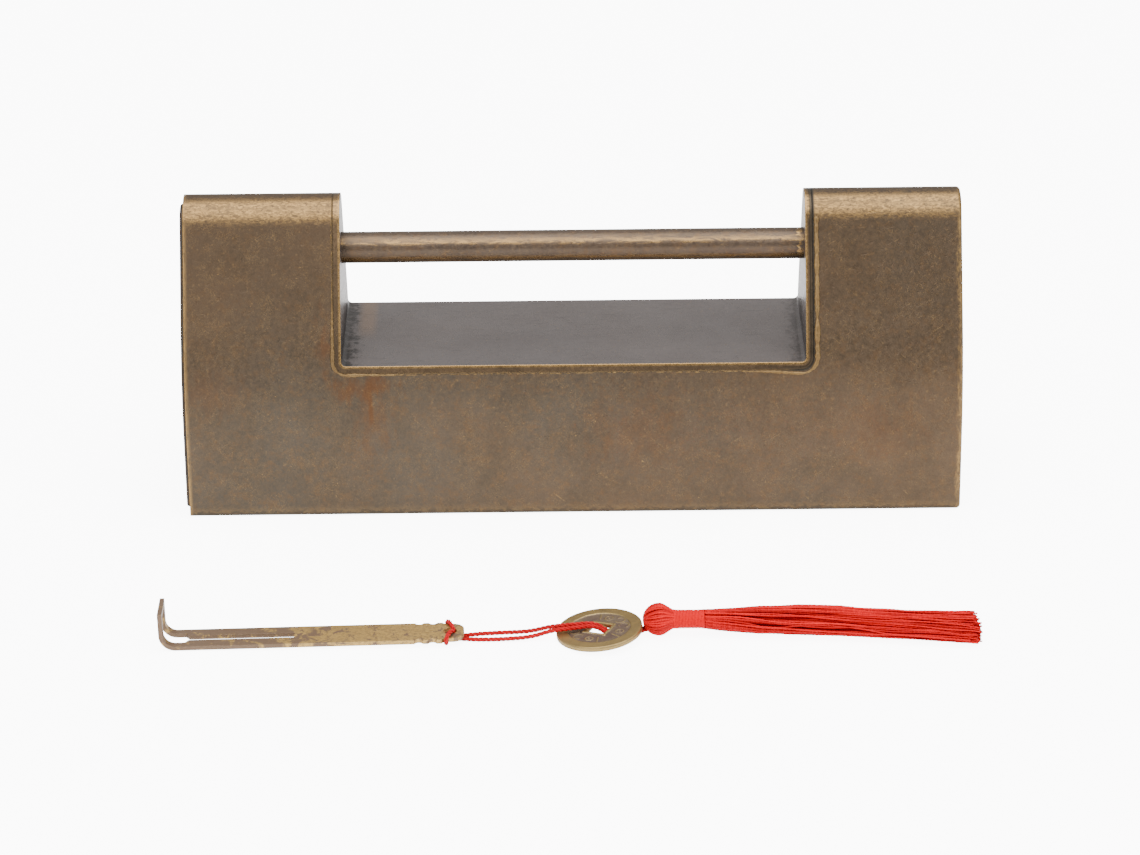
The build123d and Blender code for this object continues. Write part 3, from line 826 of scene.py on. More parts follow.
@dataclass(frozen=True)
class RedThread:
    """Glossy dyed thread, with colour that changes from strand to strand and painted shade where threads lie
    close.
    """

    name: str
    bright: Colour = (0.86, 0.0008, 0.008)
    dark: Colour = (0.31, 0.0002, 0.0018)
    # Colour of the painted shade where threads lie close.
    shade: Colour = (0.09, 0.0005, 0.001)
    roughness: float = 0.42

    def build(self) -> bpy.types.Material:
        """Make the material.

        Returns:
            The finished material.
        """
        material, graph, shader = start_material(self.name)
        place = graph.place()
        shade = graph.node("Attribute", attribute_name="shade").outputs["Fac"]
        fibre = graph.noise(graph.turned(place, (0.0, 0.0, 0.3), (1800.0, 9000.0, 9000.0)), 1.0, 3.0, 0.6)
        colour = graph.mix(graph.span(shade, 0.0, 1.0), self.dark, self.bright)
        colour = graph.mix(graph.span(fibre, 0.35, 0.7, 0.35, 0.0), colour, self.dark)
        # Painted shade: darker where threads lie close, by ambient occlusion.
        closed = graph.node("AmbientOcclusion", samples=6)
        closed.inputs["Distance"].default_value = 0.0012
        between = graph.span(closed.outputs["AO"], 0.2, 0.8, 0.55, 0.0)
        colour = graph.mix(between, colour, self.shade)
        graph.feed(shader.inputs["Base Color"], colour)
        rough = graph.span(fibre, 0.3, 0.7, self.roughness - 0.08, self.roughness + 0.12)
        graph.feed(shader.inputs["Roughness"], rough)
        shader.inputs["Specular IOR Level"].default_value = 0.25
        shader.inputs["Specular Tint"].default_value = (1.0, 0.25, 0.2, 1.0)
        add_bump(graph, shader, graph.product(fibre, 0.00006))
        return material


# ---- Mesh building -----------------------------------------------------------------------


class MeshMaker:
    """Collects vertices and faces, with one value a vertex, and makes one object of them."""

    def __init__(self) -> None:
        """Start empty."""
        self.points: list[Vector] = []
        self.faces: list[tuple[int, ...]] = []
        self.values: list[float] = []

    def ring_tube(self, rings: list[list[Vector]], value: float, capped: bool = True) -> None:
        """Join rings of equal size into a tube.

        Args:
            rings: Rings of points, in order.
            value: The value given to every point.
            capped: Whether both ends are closed.
        """
        start = len(self.points)
        count = len(rings[0])
        for ring in rings:
            self.points.extend(ring)
            self.values.extend([value] * count)
        for row in range(len(rings) - 1):
            here = start + row * count
            for k in range(count):
                following = (k + 1) % count
                self.faces.append((here + k, here + following, here + count + following, here + count + k))
        if capped:
            last = start + (len(rings) - 1) * count
            self.faces.append(tuple(start + k for k in reversed(range(count))))
            self.faces.append(tuple(last + k for k in range(count)))

    def finish(
        self, name: str, body: str, slot: str, material: bpy.types.Material, value: str = "shade"
    ) -> bpy.types.Object:
        """Make the object, and let it ride.

        Args:
            name: The piece's name.
            body: The body it rides on.
            slot: The record's material slot; not used.
            material: Its material.
            value: The name of the attribute that holds the values.

        Returns:
            The new object.
        """
        mesh = bpy.data.meshes.new(name)
        mesh.from_pydata([tuple(point) for point in self.points], [], self.faces)
        mesh.validate()
        attribute = mesh.attributes.new(value, "FLOAT", "POINT")
        attribute.data.foreach_set("value", np.array(self.values, np.float32))
        mesh.polygons.foreach_set("use_smooth", [True] * len(mesh.polygons))
        mesh.materials.append(material)
        made = bpy.data.objects.new(name, mesh)
        bpy.context.scene.collection.objects.link(made)
        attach(made, body)
        LOG.info("%s: %d faces", name, len(self.faces))
        return made


def frames_along(path: list[Vector]) -> list[tuple[Vector, Vector]]:
    """Work out two steady cross directions at each point of a path.

    Args:
        path: The points.

    Returns:
        One pair of unit vectors for each point, square to the path.
    """
    tangents = []
    for index in range(len(path)):
        ahead = path[min(index + 1, len(path) - 1)]
        behind = path[max(index - 1, 0)]
        tangents.append((ahead - behind).normalized())
    side = tangents[0].orthogonal().normalized()
    pairs = []
    for tangent in tangents:
        side = (side - tangent * side.dot(tangent)).normalized()
        pairs.append((side, tangent.cross(side)))
    return pairs


def round_rings(
    path: list[Vector], radius: float, sides: int, oval: float = 0.0, pitch: float = 1.0
) -> list[list[Vector]]:
    """Work out the rings of a thread, round or as two twisted plies.

    Args:
        path: The thread's centre line.
        radius: Its radius.
        sides: Points in a ring.
        oval: How much the section is pinched, from 0.
        pitch: Length of one turn of a pinched section.

    Returns:
        The rings.
    """
    rings = []
    run = 0.0
    for index, ((side, up), centre) in enumerate(zip(frames_along(path), path)):
        if index:
            run += (centre - path[index - 1]).length
        spin = 2 * math.pi * run / pitch if oval else 0.0
        ring = []
        for k in range(sides):
            angle = 2 * math.pi * k / sides
            swell = radius * (1.0 + oval * math.cos(2 * angle))
            angle += spin
            ring.append(centre + side * (swell * math.cos(angle)) + up * (swell * math.sin(angle)))
        rings.append(ring)
    return rings


def read_spline(points: list[Point]) -> list[Vector]:
    """Read the smooth line of a route from its NURBS spline.

    Args:
        points: The route's points, in metres.

    Returns:
        Points along the spline.
    """
    curve = bpy.data.curves.new("route", "CURVE")
    curve.dimensions = "3D"
    curve.resolution_u = 16
    spline = curve.splines.new("NURBS")
    spline.points.add(len(points) - 1)
    for target, point in zip(spline.points, points):
        target.co = (*point, 1.0)
    spline.order_u = 3
    spline.use_endpoint_u = True
    holder = bpy.data.objects.new("route", curve)
    bpy.context.scene.collection.objects.link(holder)
    bpy.context.view_layer.update()
    line = bpy.data.meshes.new_from_object(holder.evaluated_get(bpy.context.evaluated_depsgraph_get()))
    found = [vertex.co.copy() for vertex in line.vertices]
    bpy.data.objects.remove(holder)
    bpy.data.curves.remove(curve)
    bpy.data.meshes.remove(line)
    return found


def even_steps(path: list[Vector], step: float) -> list[Vector]:
    """Space points evenly along a path.

    Args:
        path: The path's points.
        step: About how far apart the new points lie.

    Returns:
        The new points.
    """
    lengths = np.concatenate([[0.0], np.cumsum([(b - a).length for a, b in zip(path, path[1:])])])
    stops = np.linspace(0.0, lengths[-1], max(2, round(lengths[-1] / step)))
    columns = [np.interp(stops, lengths, [point[axis] for point in path]) for axis in range(3)]
    return [Vector(point) for point in zip(*columns)]


# ---- Camera, floor and light ---------------------------------------------------------------


@dataclass(frozen=True)
class SoftLight:
    """A square soft light: its place, the point it faces, its side and its power in watts."""

    name: str
    place: Point
    aim: Point
    size: float
    power: float

    def build(self) -> None:
        """Add the light."""
        data = bpy.data.lights.new(self.name, "AREA")
        data.shape = "SQUARE"
        data.size = self.size
        data.energy = self.power
        light = bpy.data.objects.new(self.name, data)
        light.location = self.place
        light.rotation_euler = (Vector(self.aim) - Vector(self.place)).to_track_quat("-Z", "Y").to_euler()
        bpy.context.scene.collection.objects.link(light)


@dataclass
class Studio:
    """The viewing point, the pale floor and the soft light."""

    elevation: float = math.radians(24.03)
    roll: float = math.radians(-0.601)
    distance: float = 1.121
    target: tuple[float, float, float] = (-0.001135, 0.0, 0.013614)
    lens: float = 134.2
    lights: tuple[SoftLight, ...] = (
        SoftLight("overhead_softbox", (0.1, -0.25, 1.3), (0.0, 0.0, 0.03), 1.6, 34.0),
        SoftLight("front_softbox", (-0.9, -1.5, 0.9), (0.0, 0.0, 0.03), 1.2, 13.0),
        SoftLight("side_softbox", (1.3, -0.9, 0.7), (0.0, 0.0, 0.04), 1.0, 7.8),
    )
    low_air: float = 0.62
    high_air: float = 1.25
    floor_glow: float = 0.55
    floor_seen: float = 8.0
    floor_half: float = 6.0
    floor_drop: float = 0.0001

    def build(self) -> None:
        """Make the camera, the lights, the world and the floor."""
        self.add_camera()
        for light in self.lights:
            light.build()
        world = bpy.data.worlds.new("studio_air")
        world.use_nodes = True
        graph = Graph(world.node_tree)
        background = next(node for node in world.node_tree.nodes if node.type == "BACKGROUND")
        split = graph.axes(graph.node("TexCoord").outputs["Generated"])
        graph.feed(background.inputs["Color"], (1.0, 1.0, 1.0))
        air = graph.span(split[2], 0.25, 0.9, self.low_air, self.high_air)
        graph.feed(background.inputs["Strength"], air)
        bpy.context.scene.world = world
        self.add_floor()

    def add_camera(self) -> None:
        """Place the camera on its line of sight, with its slight roll."""
        back = Vector((0.0, -math.cos(self.elevation), math.sin(self.elevation)))
        right = Vector((1.0, 0.0, 0.0))
        up = back.cross(right)
        across = right * math.cos(self.roll) + up * math.sin(self.roll)
        upright = up * math.cos(self.roll) - right * math.sin(self.roll)
        data = bpy.data.cameras.new("camera")
        data.lens = self.lens
        data.sensor_width = 36.0
        data.clip_start = 0.05
        camera = bpy.data.objects.new("camera", data)
        turn = Matrix((across, upright, back)).transposed()
        camera.matrix_world = Matrix.Translation(Vector(self.target) + back * self.distance) @ turn.to_4x4()
        bpy.context.scene.collection.objects.link(camera)
        bpy.context.scene.camera = camera

    def add_floor(self) -> None:
        """Lay the plain pale floor, which looks as bright as a lit studio sweep."""
        material, graph, shader = start_material("pale_floor")
        shade = graph.noise(graph.place(), 3.0, 2.0)
        graph.feed(shader.inputs["Base Color"], graph.mix(shade, (0.90, 0.90, 0.90), (0.93, 0.93, 0.93)))
        shader.inputs["Roughness"].default_value = 0.9
        shader.inputs["Emission Color"].default_value = (1.0, 1.0, 1.0, 1.0)
        seen = graph.node("LightPath").outputs["Is Camera Ray"]
        glow = graph.math("ADD", graph.product(seen, self.floor_seen), self.floor_glow)
        graph.feed(shader.inputs["Emission Strength"], glow)
        half = self.floor_half
        corners = [(-half, -half, 0.0), (half, -half, 0.0), (half, half, 0.0), (-half, half, 0.0)]
        mesh = bpy.data.meshes.new("floor")
        mesh.from_pydata(corners, [], [(0, 1, 2, 3)])
        mesh.materials.append(material)
        floor = bpy.data.objects.new("floor", mesh)
        floor.location.z = -self.floor_drop
        bpy.context.scene.collection.objects.link(floor)


# ---- Cord ------------------------------------------------------------------------------------


@dataclass
class KeyCord:
    """The two twisted strands from the hitch on the key's tail to the tassel.

    The runs are in millimetres from the key's middle line, with no height where the strand lies on the
    floor. The near one goes on through the tassel's head into its skirt.
    """

    diameter: float = 1.15 * MM
    low: float = 0.605 * MM
    key_y: float = -96.0 * MM
    top: float = 3.2 * MM
    hole_x: float = -30.15 * MM
    notch_x: float = -31.8 * MM
    notch_y: float = 4.76 * MM
    pitch: float = 3.6 * MM
    plies: int = 3
    ply_share: float = 0.262
    step: float = 0.22 * MM
    near_run: tuple[Stop, ...] = (
        (-28.3, -0.75, None),
        (-23.6, -1.5, None),
        (-17.0, -1.2, None),
        (-11.0, -0.9, 0.95),
        (-6.2, -0.5, 2.45),
        (-1.4, 0.1, 2.7),
        (4.4, 0.75, 3.15),
        (7.5, 1.02, None),
        (11.0, 1.1, None),
        (14.3, 1.2, 0.75),
        (17.4, 1.3, 1.7),
        (20.6, 1.65, 3.1),
        (24.6, 1.95, 4.0),
        (29.6, 1.7, 4.15),
        (35.2, 2.2, 3.6),
        (41.2, 2.9, 3.1),
    )
    far_run: tuple[Stop, ...] = (
        (-28.3, 0.75, None),
        (-24.0, 1.75, None),
        (-17.6, 2.3, None),
        (-11.3, 2.1, 0.95),
        (-6.3, 1.8, 2.45),
        (-1.2, 1.85, 2.75),
        (4.5, 2.05, 3.15),
        (7.5, 2.22, None),
        (11.2, 2.45, None),
        (14.4, 2.5, 0.8),
        (17.6, 2.45, 1.6),
    )

    def hitch(self, side: int) -> list[Point]:
        """Work out one half of the hitch.

        Args:
            side: -1 for the near half, 1 for the far one.

        Returns:
            Its points, from the middle under the tail to below the hole.
        """
        y = self.key_y
        return [
            (self.notch_x, y, self.low),
            (self.notch_x, y + side * self.notch_y, self.low),
            (self.notch_x, y + side * self.notch_y, self.top),
            (self.hole_x, y + side * 0.62 * MM, self.top),
            (self.hole_x, y + side * 0.62 * MM, self.low),
        ]

    def route(self, side: int) -> list[Point]:
        """Work out one strand's whole route.

        Args:
            side: -1 for the near strand, 1 for the far one.

        Returns:
            The route's points, hitch first.
        """
        run = self.near_run if side < 0 else self.far_run
        return self.hitch(side) + [
            (x * MM, self.key_y + y * MM, self.low if z is None else z * MM) for x, y, z in run
        ]

    def twist(self, path: list[Vector], maker: MeshMaker) -> None:
        """Lay the plies round a path.

        Args:
            path: The strand's centre line.
            maker: Takes the plies.
        """
        ply_radius = self.diameter * self.ply_share
        offset = self.diameter / 2 - ply_radius
        steady = frames_along(path)
        for ply in range(self.plies):
            run = 0.0
            line = []
            for index, centre in enumerate(path):
                if index:
                    run += (centre - path[index - 1]).length
                angle = 2 * math.pi * (run / self.pitch + ply / self.plies)
                side, up = steady[index]
                line.append(centre + side * (offset * math.cos(angle)) + up * (offset * math.sin(angle)))
            maker.ring_tube(round_rings(line, ply_radius, 8), 0.55 + 0.2 * ply)

    def build(self, material: bpy.types.Material) -> list[Strand]:
        """Make both strands.

        Args:
            material: The cord's material.

        Returns:
            Each strand's object and the line it follows.
        """
        made = []
        for name, route, nodes in (
            ("twisted_strand_near", self.route(-1), ("cord_strand_near", "cord_hitch")),
            ("twisted_strand_far", self.route(1), ("cord_strand_far", "cord_hitch")),
        ):
            path = even_steps(read_spline(route), self.step)
            maker = MeshMaker()
            self.twist(path, maker)
            strand = maker.finish(name, "key", "red_cord", material)
            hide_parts(*nodes)
            made.append((strand, path))
        return made


# ---- Tassel ----------------------------------------------------------------------------------


@dataclass
class Tassel:
    """The head, its binding and the loose skirt of threads.

    Each of the skirt's sections gives the share of its length, then its shift sideways, half width and half
    height in millimetres.
    """

    thread: float = 0.21 * MM
    thread_sides: int = 6
    head_threads: int = 74
    head_steps: int = 29
    core_rows: int = 28
    core_inset: float = 0.42 * MM
    core_value: float = 0.1
    binding_thread: float = 0.19 * MM
    binding_turn_steps: int = 28
    skirt_threads: int = 230
    skirt_step: float = 0.55 * MM
    stray_every: int = 17
    uneven: float = 0.021
    sections: tuple[Sample, ...] = (
        (0.0, 0.0, 2.2, 2.2),
        (0.08, 0.55, 3.1, 2.6),
        (0.2, 1.5, 4.9, 2.75),
        (0.35, 1.7, 5.9, 2.5),
        (0.5, 1.1, 6.2, 2.3),
        (0.75, -0.2, 6.9, 1.9),
        (1.0, -1.6, 8.3, 1.6),
    )
    neck_reach: float = 4.3 * MM
    seed: int = 11

    def __post_init__(self) -> None:
        """Take the sizes of the head, the binding and the skirt from the frame."""
        low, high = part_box("tassel_head")
        self.radius = (high.z - low.z) / 2
        self.centre = Vector((low.x + self.radius, (low.y + high.y) / 2, (low.z + high.z) / 2))
        self.neck_x = high.x
        bind_low, bind_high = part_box("tassel_binding")
        self.bind_radius = (bind_high.z - bind_low.z) / 2
        self.bind_end = bind_high.x
        self.skirt_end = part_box("tassel_skirt")[1].x

    def around(self, x: float, radius: float, angle: float) -> Vector:
        """Return a point round the tassel's axis."""
        return Vector((x, self.centre.y + radius * math.cos(angle), self.centre.z + radius * math.sin(angle)))

    def circle(self, x: float, radius: float, sides: int) -> list[Vector]:
        """Return a ring of points round the tassel's axis."""
        return [self.around(x, radius, 2 * math.pi * k / sides) for k in range(sides)]

    def head_profile(self, share: float, inset: float) -> tuple[float, float]:
        """Return the ball's place along the axis and its radius, from the cord at 0 to the binding at 1.

        Args:
            share: How far along the profile.
            inset: How far inside the ball's surface.

        Returns:
            The place along X and the radius.
        """
        if share < 0.5:
            polar = math.pi * share
            reach = self.radius - inset
            return self.centre.x - reach * math.cos(polar), reach * math.sin(polar)
        along = (share - 0.5) * 2
        neck = self.bind_radius * 0.9
        swell = 0.5 + 0.5 * math.cos(math.pi * along)
        return self.centre.x + along * self.neck_reach, neck + (self.radius - neck) * swell - inset

    def head_thread(self, rng: random.Random, index: int) -> list[Vector]:
        """Lay one thread's line over the ball.

        Args:
            rng: Draws its place, swirl and lift.
            index: Which thread it is.

        Returns:
            Its points, from the cord to the binding.
        """
        start = 2 * math.pi * (index + rng.uniform(-0.25, 0.25)) / self.head_threads
        swirl = 0.34 + rng.uniform(-0.10, 0.10)
        lift = rng.uniform(-0.10, 0.04) * MM
        first = rng.uniform(0.02, 0.06)
        path = []
        for step in range(self.head_steps + 1):
            share = first + (1 - first) * step / self.head_steps
            angle = start + swirl * max(0.0, 1.0 - share) ** 1.6 + 0.02 * math.sin(9 * share + index)
            x, radius = self.head_profile(share, self.thread - lift)
            path.append(self.around(x, radius, angle))
        return path

    def build_head(self, material: bpy.types.Material) -> bpy.types.Object:
        """Make the pear-shaped ball: a core, and threads laid over it from the cord to the binding.

        Args:
            material: The threads' material.

        Returns:
            The ball.
        """
        rng = random.Random(self.seed)
        maker = MeshMaker()
        core = []
        for row in range(self.core_rows + 1):
            x, radius = self.head_profile(0.01 + 0.99 * row / self.core_rows, self.core_inset)
            core.append(self.circle(x, radius, 48))
        maker.ring_tube(core, self.core_value)
        for index in range(self.head_threads):
            path = self.head_thread(rng, index)
            rings = round_rings(path, self.thread, self.thread_sides, 0.18, 1.5 * MM)
            maker.ring_tube(rings, rng.uniform(0.3, 1.0))
        head = maker.finish("tassel_ball_threads", "key", "red_thread", material)
        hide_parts("tassel_head")
        return head

    def build_binding(self, material: bpy.types.Material) -> bpy.types.Object:
        """Make the binding: one thread wound closely round the neck, over a core.

        Args:
            material: The thread's material.

        Returns:
            The binding.
        """
        maker = MeshMaker()
        thread = self.binding_thread
        inner = self.bind_radius - 2 * thread
        ends = (self.neck_x, self.neck_x + 0.2 * MM, self.bind_end - 0.2 * MM, self.bind_end)
        maker.ring_tube([self.circle(x, inner, 32) for x in ends], self.core_value)
        length = self.bind_end - self.neck_x - 2 * thread
        turns = round(length / (1.9 * thread))
        steps = turns * self.binding_turn_steps
        path = []
        for step in range(steps + 1):
            share = step / steps
            loose = 0.05 * MM * noise.noise(Vector((share * 40, 0.3, 0.0)))
            flare = 0.12 * MM * (2 * share - 1) ** 4
            radius = self.bind_radius - thread - 0.10 * MM + loose + flare
            x = self.neck_x + thread + length * share
            path.append(self.around(x, radius, 2 * math.pi * turns * share))
        maker.ring_tube(round_rings(path, thread, self.thread_sides), 0.75)
        binding = maker.finish("tassel_wound_binding", "key", "red_thread", material)
        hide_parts("tassel_binding")
        return binding

    def section(self, share: float) -> Sample:
        """Work out the skirt's section.

        Args:
            share: How far along the skirt's length.

        Returns:
            Its shift sideways, half width, middle height and half height.
        """
        columns = tuple(zip(*self.sections))
        shift, wide, high = (float(np.interp(share, columns[0], column)) * MM for column in columns[1:])
        settled = high + 0.1 * MM
        droop = min(1.0, share / 0.2)
        middle = self.centre.z * (1 - droop) + settled * droop
        return shift, wide, middle, high

    def skirt_thread(self, rng: random.Random, index: int) -> list[Vector]:
        """Lay one loose thread's line.

        Args:
            rng: Draws its place, wandering and length.
            index: Which thread it is.

        Returns:
            Its points, from the binding outwards.
        """
        full = self.skirt_end - self.bind_end
        radial = math.sqrt(rng.random())
        angle = rng.uniform(0, 2 * math.pi)
        across, upward = radial * math.cos(angle), radial * math.sin(angle)
        wander = [rng.uniform(-1, 1) for _ in range(4)]
        reach = full * (1.0 - abs(rng.gauss(0.0, self.uneven)) - 0.02 * (across * across))
        stray = index % self.stray_every == 0
        path = []
        steps = round(reach / self.skirt_step)
        for step in range(steps + 1):
            x = reach * step / steps
            share = x / full
            shift, wide, middle, high = self.section(share)
            grow = min(1.0, share * 4)
            sway = 0.20 * wander[0] * math.sin(3.4 * share + 3 * wander[1]) * grow
            sway += 0.065 * wander[2] * math.sin(15 * share + 6 * wander[3]) * grow
            curl = 0.05 * math.sin(38 * share + index) * max(0.0, share - 0.75) * 2
            side = max(-1.02, min(1.02, across + sway + curl))
            if stray:
                side *= 1.0 + 0.20 * math.sin(math.pi * min(1.0, share * 1.3))
            limit = math.sqrt(max(0.04, 1.0 - min(1.0, side * side)))
            rise = max(-limit, min(limit, upward + 0.15 * wander[1] * math.sin(7 * share + index)))
            z = max(self.thread * 1.25, middle + rise * high)
            path.append(Vector((self.bind_end - 0.3 * MM + x, self.centre.y + shift + side * wide, z)))
        return path

    def build_skirt(self, material: bpy.types.Material) -> bpy.types.Object:
        """Make the skirt: loose threads that fan out, cross a little and end unevenly.

        Args:
            material: The threads' material.

        Returns:
            The skirt.
        """
        rng = random.Random(self.seed + 1)
        maker = MeshMaker()
        for index in range(self.skirt_threads):
            path = self.skirt_thread(rng, index)
            thick = self.thread * rng.uniform(0.9, 1.1)
            rings = round_rings(path, thick, self.thread_sides, 0.2, 1.9 * MM)
            maker.ring_tube(rings, rng.uniform(0.15, 1.0))
        skirt = maker.finish("tassel_skirt_threads", "key", "red_thread", material)
        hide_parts("tassel_skirt")
        return skirt

    def build(self, material: bpy.types.Material) -> list[bpy.types.Object]:
        """Make the whole tassel and return its pieces."""
        return [self.build_head(material), self.build_binding(material), self.build_skirt(material)]


# ---- Coin ------------------------------------------------------------------------------------


@dataclass
class Coin:
    """A round coin with a square hole, a raised rim and a made-up pattern of rings and leaves."""

    radius: float = 10.6 * MM
    thickness: float = 1.3 * MM
    rim: float = 2.9 * MM
    sink: float = 0.27 * MM
    rounding_width: float = 0.22 * MM
    rounding_depth: float = 0.14 * MM
    hole: float = 2.4 * MM
    border: float = 0.75 * MM
    turn: float = math.radians(-27.0)
    lift: float = 2.1 * MM
    centre: tuple[float, float] = (5.6 * MM, -95.0 * MM)
    mark_reach: float = 5.6 * MM
    ring_radius: float = 0.95 * MM
    dot_radius: float = 0.12 * MM
    arc_place: float = 3.1 * MM
    arc_radius: float = 1.25 * MM
    leaf_place: float = 2.3 * MM
    leaf_half: float = 1.2 * MM
    around: int = 288
    rows: int = 58

    def hole_reach(self, angle: float) -> float:
        """Return the distance from the centre to the square hole's edge in one direction."""
        local = angle - self.turn
        return self.hole / max(abs(math.cos(local)), abs(math.sin(local)))

    def pattern(self, x: float, y: float) -> float:
        """Work out how far the pattern stands up at a place on the face.

        Args:
            x: The place across the face.
            y: The place along the face.

        Returns:
            Its height, from 0 to 1.
        """
        best = 0.0
        for quarter in range(4):
            turn = self.turn + math.pi / 4 + quarter * math.pi / 2 + math.pi / 4
            px = x * math.cos(turn) + y * math.sin(turn)
            py = -x * math.sin(turn) + y * math.cos(turn)
            if px < 0:
                continue
            out = px - self.mark_reach
            ring = abs(math.hypot(out, py) - self.ring_radius)
            dot = math.hypot(out, py) - self.dot_radius
            sweep = 1.0 if quarter % 2 else -1.0
            beside = py - sweep * self.arc_place
            arc = abs(math.hypot(out + 0.3 * MM, beside) - self.arc_radius)
            arc = arc if beside * sweep > -0.9 * MM else 1.0
            leaf = abs(py + sweep * (self.leaf_place + 0.35 * out)) + max(0.0, abs(out) - self.leaf_half)
            for gap, width in ((ring, 0.26 * MM), (dot, 0.22 * MM), (arc, 0.28 * MM), (leaf, 0.30 * MM)):
                best = max(best, 1.0 - min(1.0, max(0.0, gap - width * 0.4) / (width * 0.9)))
        return best

    def raised(self, x: float, y: float) -> float:
        """Work out the face's height at a place.

        Args:
            x: The place across the face.
            y: The place along the face.

        Returns:
            The height, from 0 in the sunk field to 1 on the rim.
        """
        reach = math.hypot(x, y)
        local_x = x * math.cos(self.turn) + y * math.sin(self.turn)
        local_y = -x * math.sin(self.turn) + y * math.cos(self.turn)
        square = max(abs(local_x), abs(local_y)) - self.hole
        soft = 0.28 * MM
        wobble = 0.12 * MM * noise.noise(Vector((x * 500, y * 500, 0.0)))
        rim = 1.0 - min(1.0, max(0.0, (self.radius - self.rim - reach + wobble) / soft + 0.5))
        border = 1.0 - min(1.0, max(0.0, (square - self.border + wobble) / soft + 0.5))
        worn = 0.55 + 0.4 * noise.noise(Vector((x * 260, y * 260, 3.0)))
        cast = 0.16 * max(0.0, noise.noise(Vector((x * 900, y * 900, 7.0))))
        return min(1.0, max(rim, border, self.pattern(x, y) * min(1.0, max(0.3, worn)), cast))

    def face_ring(self, share: float, upper: bool) -> list[Sample]:
        """Work out one ring of points on a face.

        Args:
            share: How far from the hole to the rim.
            upper: Whether it is on the upper face.

        Returns:
            Each point's place, height and value.
        """
        ring = []
        for k in range(self.around):
            angle = 2 * math.pi * k / self.around
            inner = self.hole_reach(angle) + 0.05 * MM
            reach = inner + (self.radius - 0.02 * MM - inner) * share
            x, y = reach * math.cos(angle), reach * math.sin(angle)
            level = self.raised(x, y) if upper else self.raised(-x, y)
            edge = min(reach - inner, self.radius - reach) / self.rounding_width
            rounding = self.rounding_depth * (1.0 - min(1.0, max(0.0, edge))) ** 2
            depth = self.sink * (1.0 - level) + rounding
            ring.append((x, y, self.thickness - depth if upper else depth, level))
        return ring

    def build(self, material: bpy.types.Material) -> bpy.types.Object:
        """Make the coin as one closed mesh.

        Args:
            material: The coin's material.

        Returns:
            The coin.
        """
        lean = math.asin(self.lift / (2 * self.radius))
        along = Vector((math.cos(lean), 0.0, math.sin(lean)))
        across = Vector((0.0, 1.0, 0.0))
        upward = Vector((-math.sin(lean), 0.0, math.cos(lean)))
        origin = Vector((*self.centre, self.lift / 2))
        maker = MeshMaker()
        rows: list[list[int]] = []

        def add_row(sample: list[Sample]) -> None:
            """Add a closed row of points.

            Args:
                sample: Each point's place, height and value.
            """
            rows.append([len(maker.points) + k for k in range(len(sample))])
            for x, y, height, value in sample:
                maker.points.append(origin + along * x + across * y + upward * height)
                maker.values.append(value)

        steps = range(self.rows + 1)
        for step in steps:
            add_row(self.face_ring(step / self.rows, True))
        for step in reversed(steps):
            add_row(self.face_ring(step / self.rows, False))
        count = self.around
        for first, second in zip(rows, rows[1:] + rows[:1]):
            for k in range(count):
                following = (k + 1) % count
                maker.faces.append((first[k], second[k], second[following], first[following]))
        coin = maker.finish("coin_struck", "key", "coin_brass", material, "raised")
        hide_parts("coin")
        return coin


# ---- Case ------------------------------------------------------------------------------------


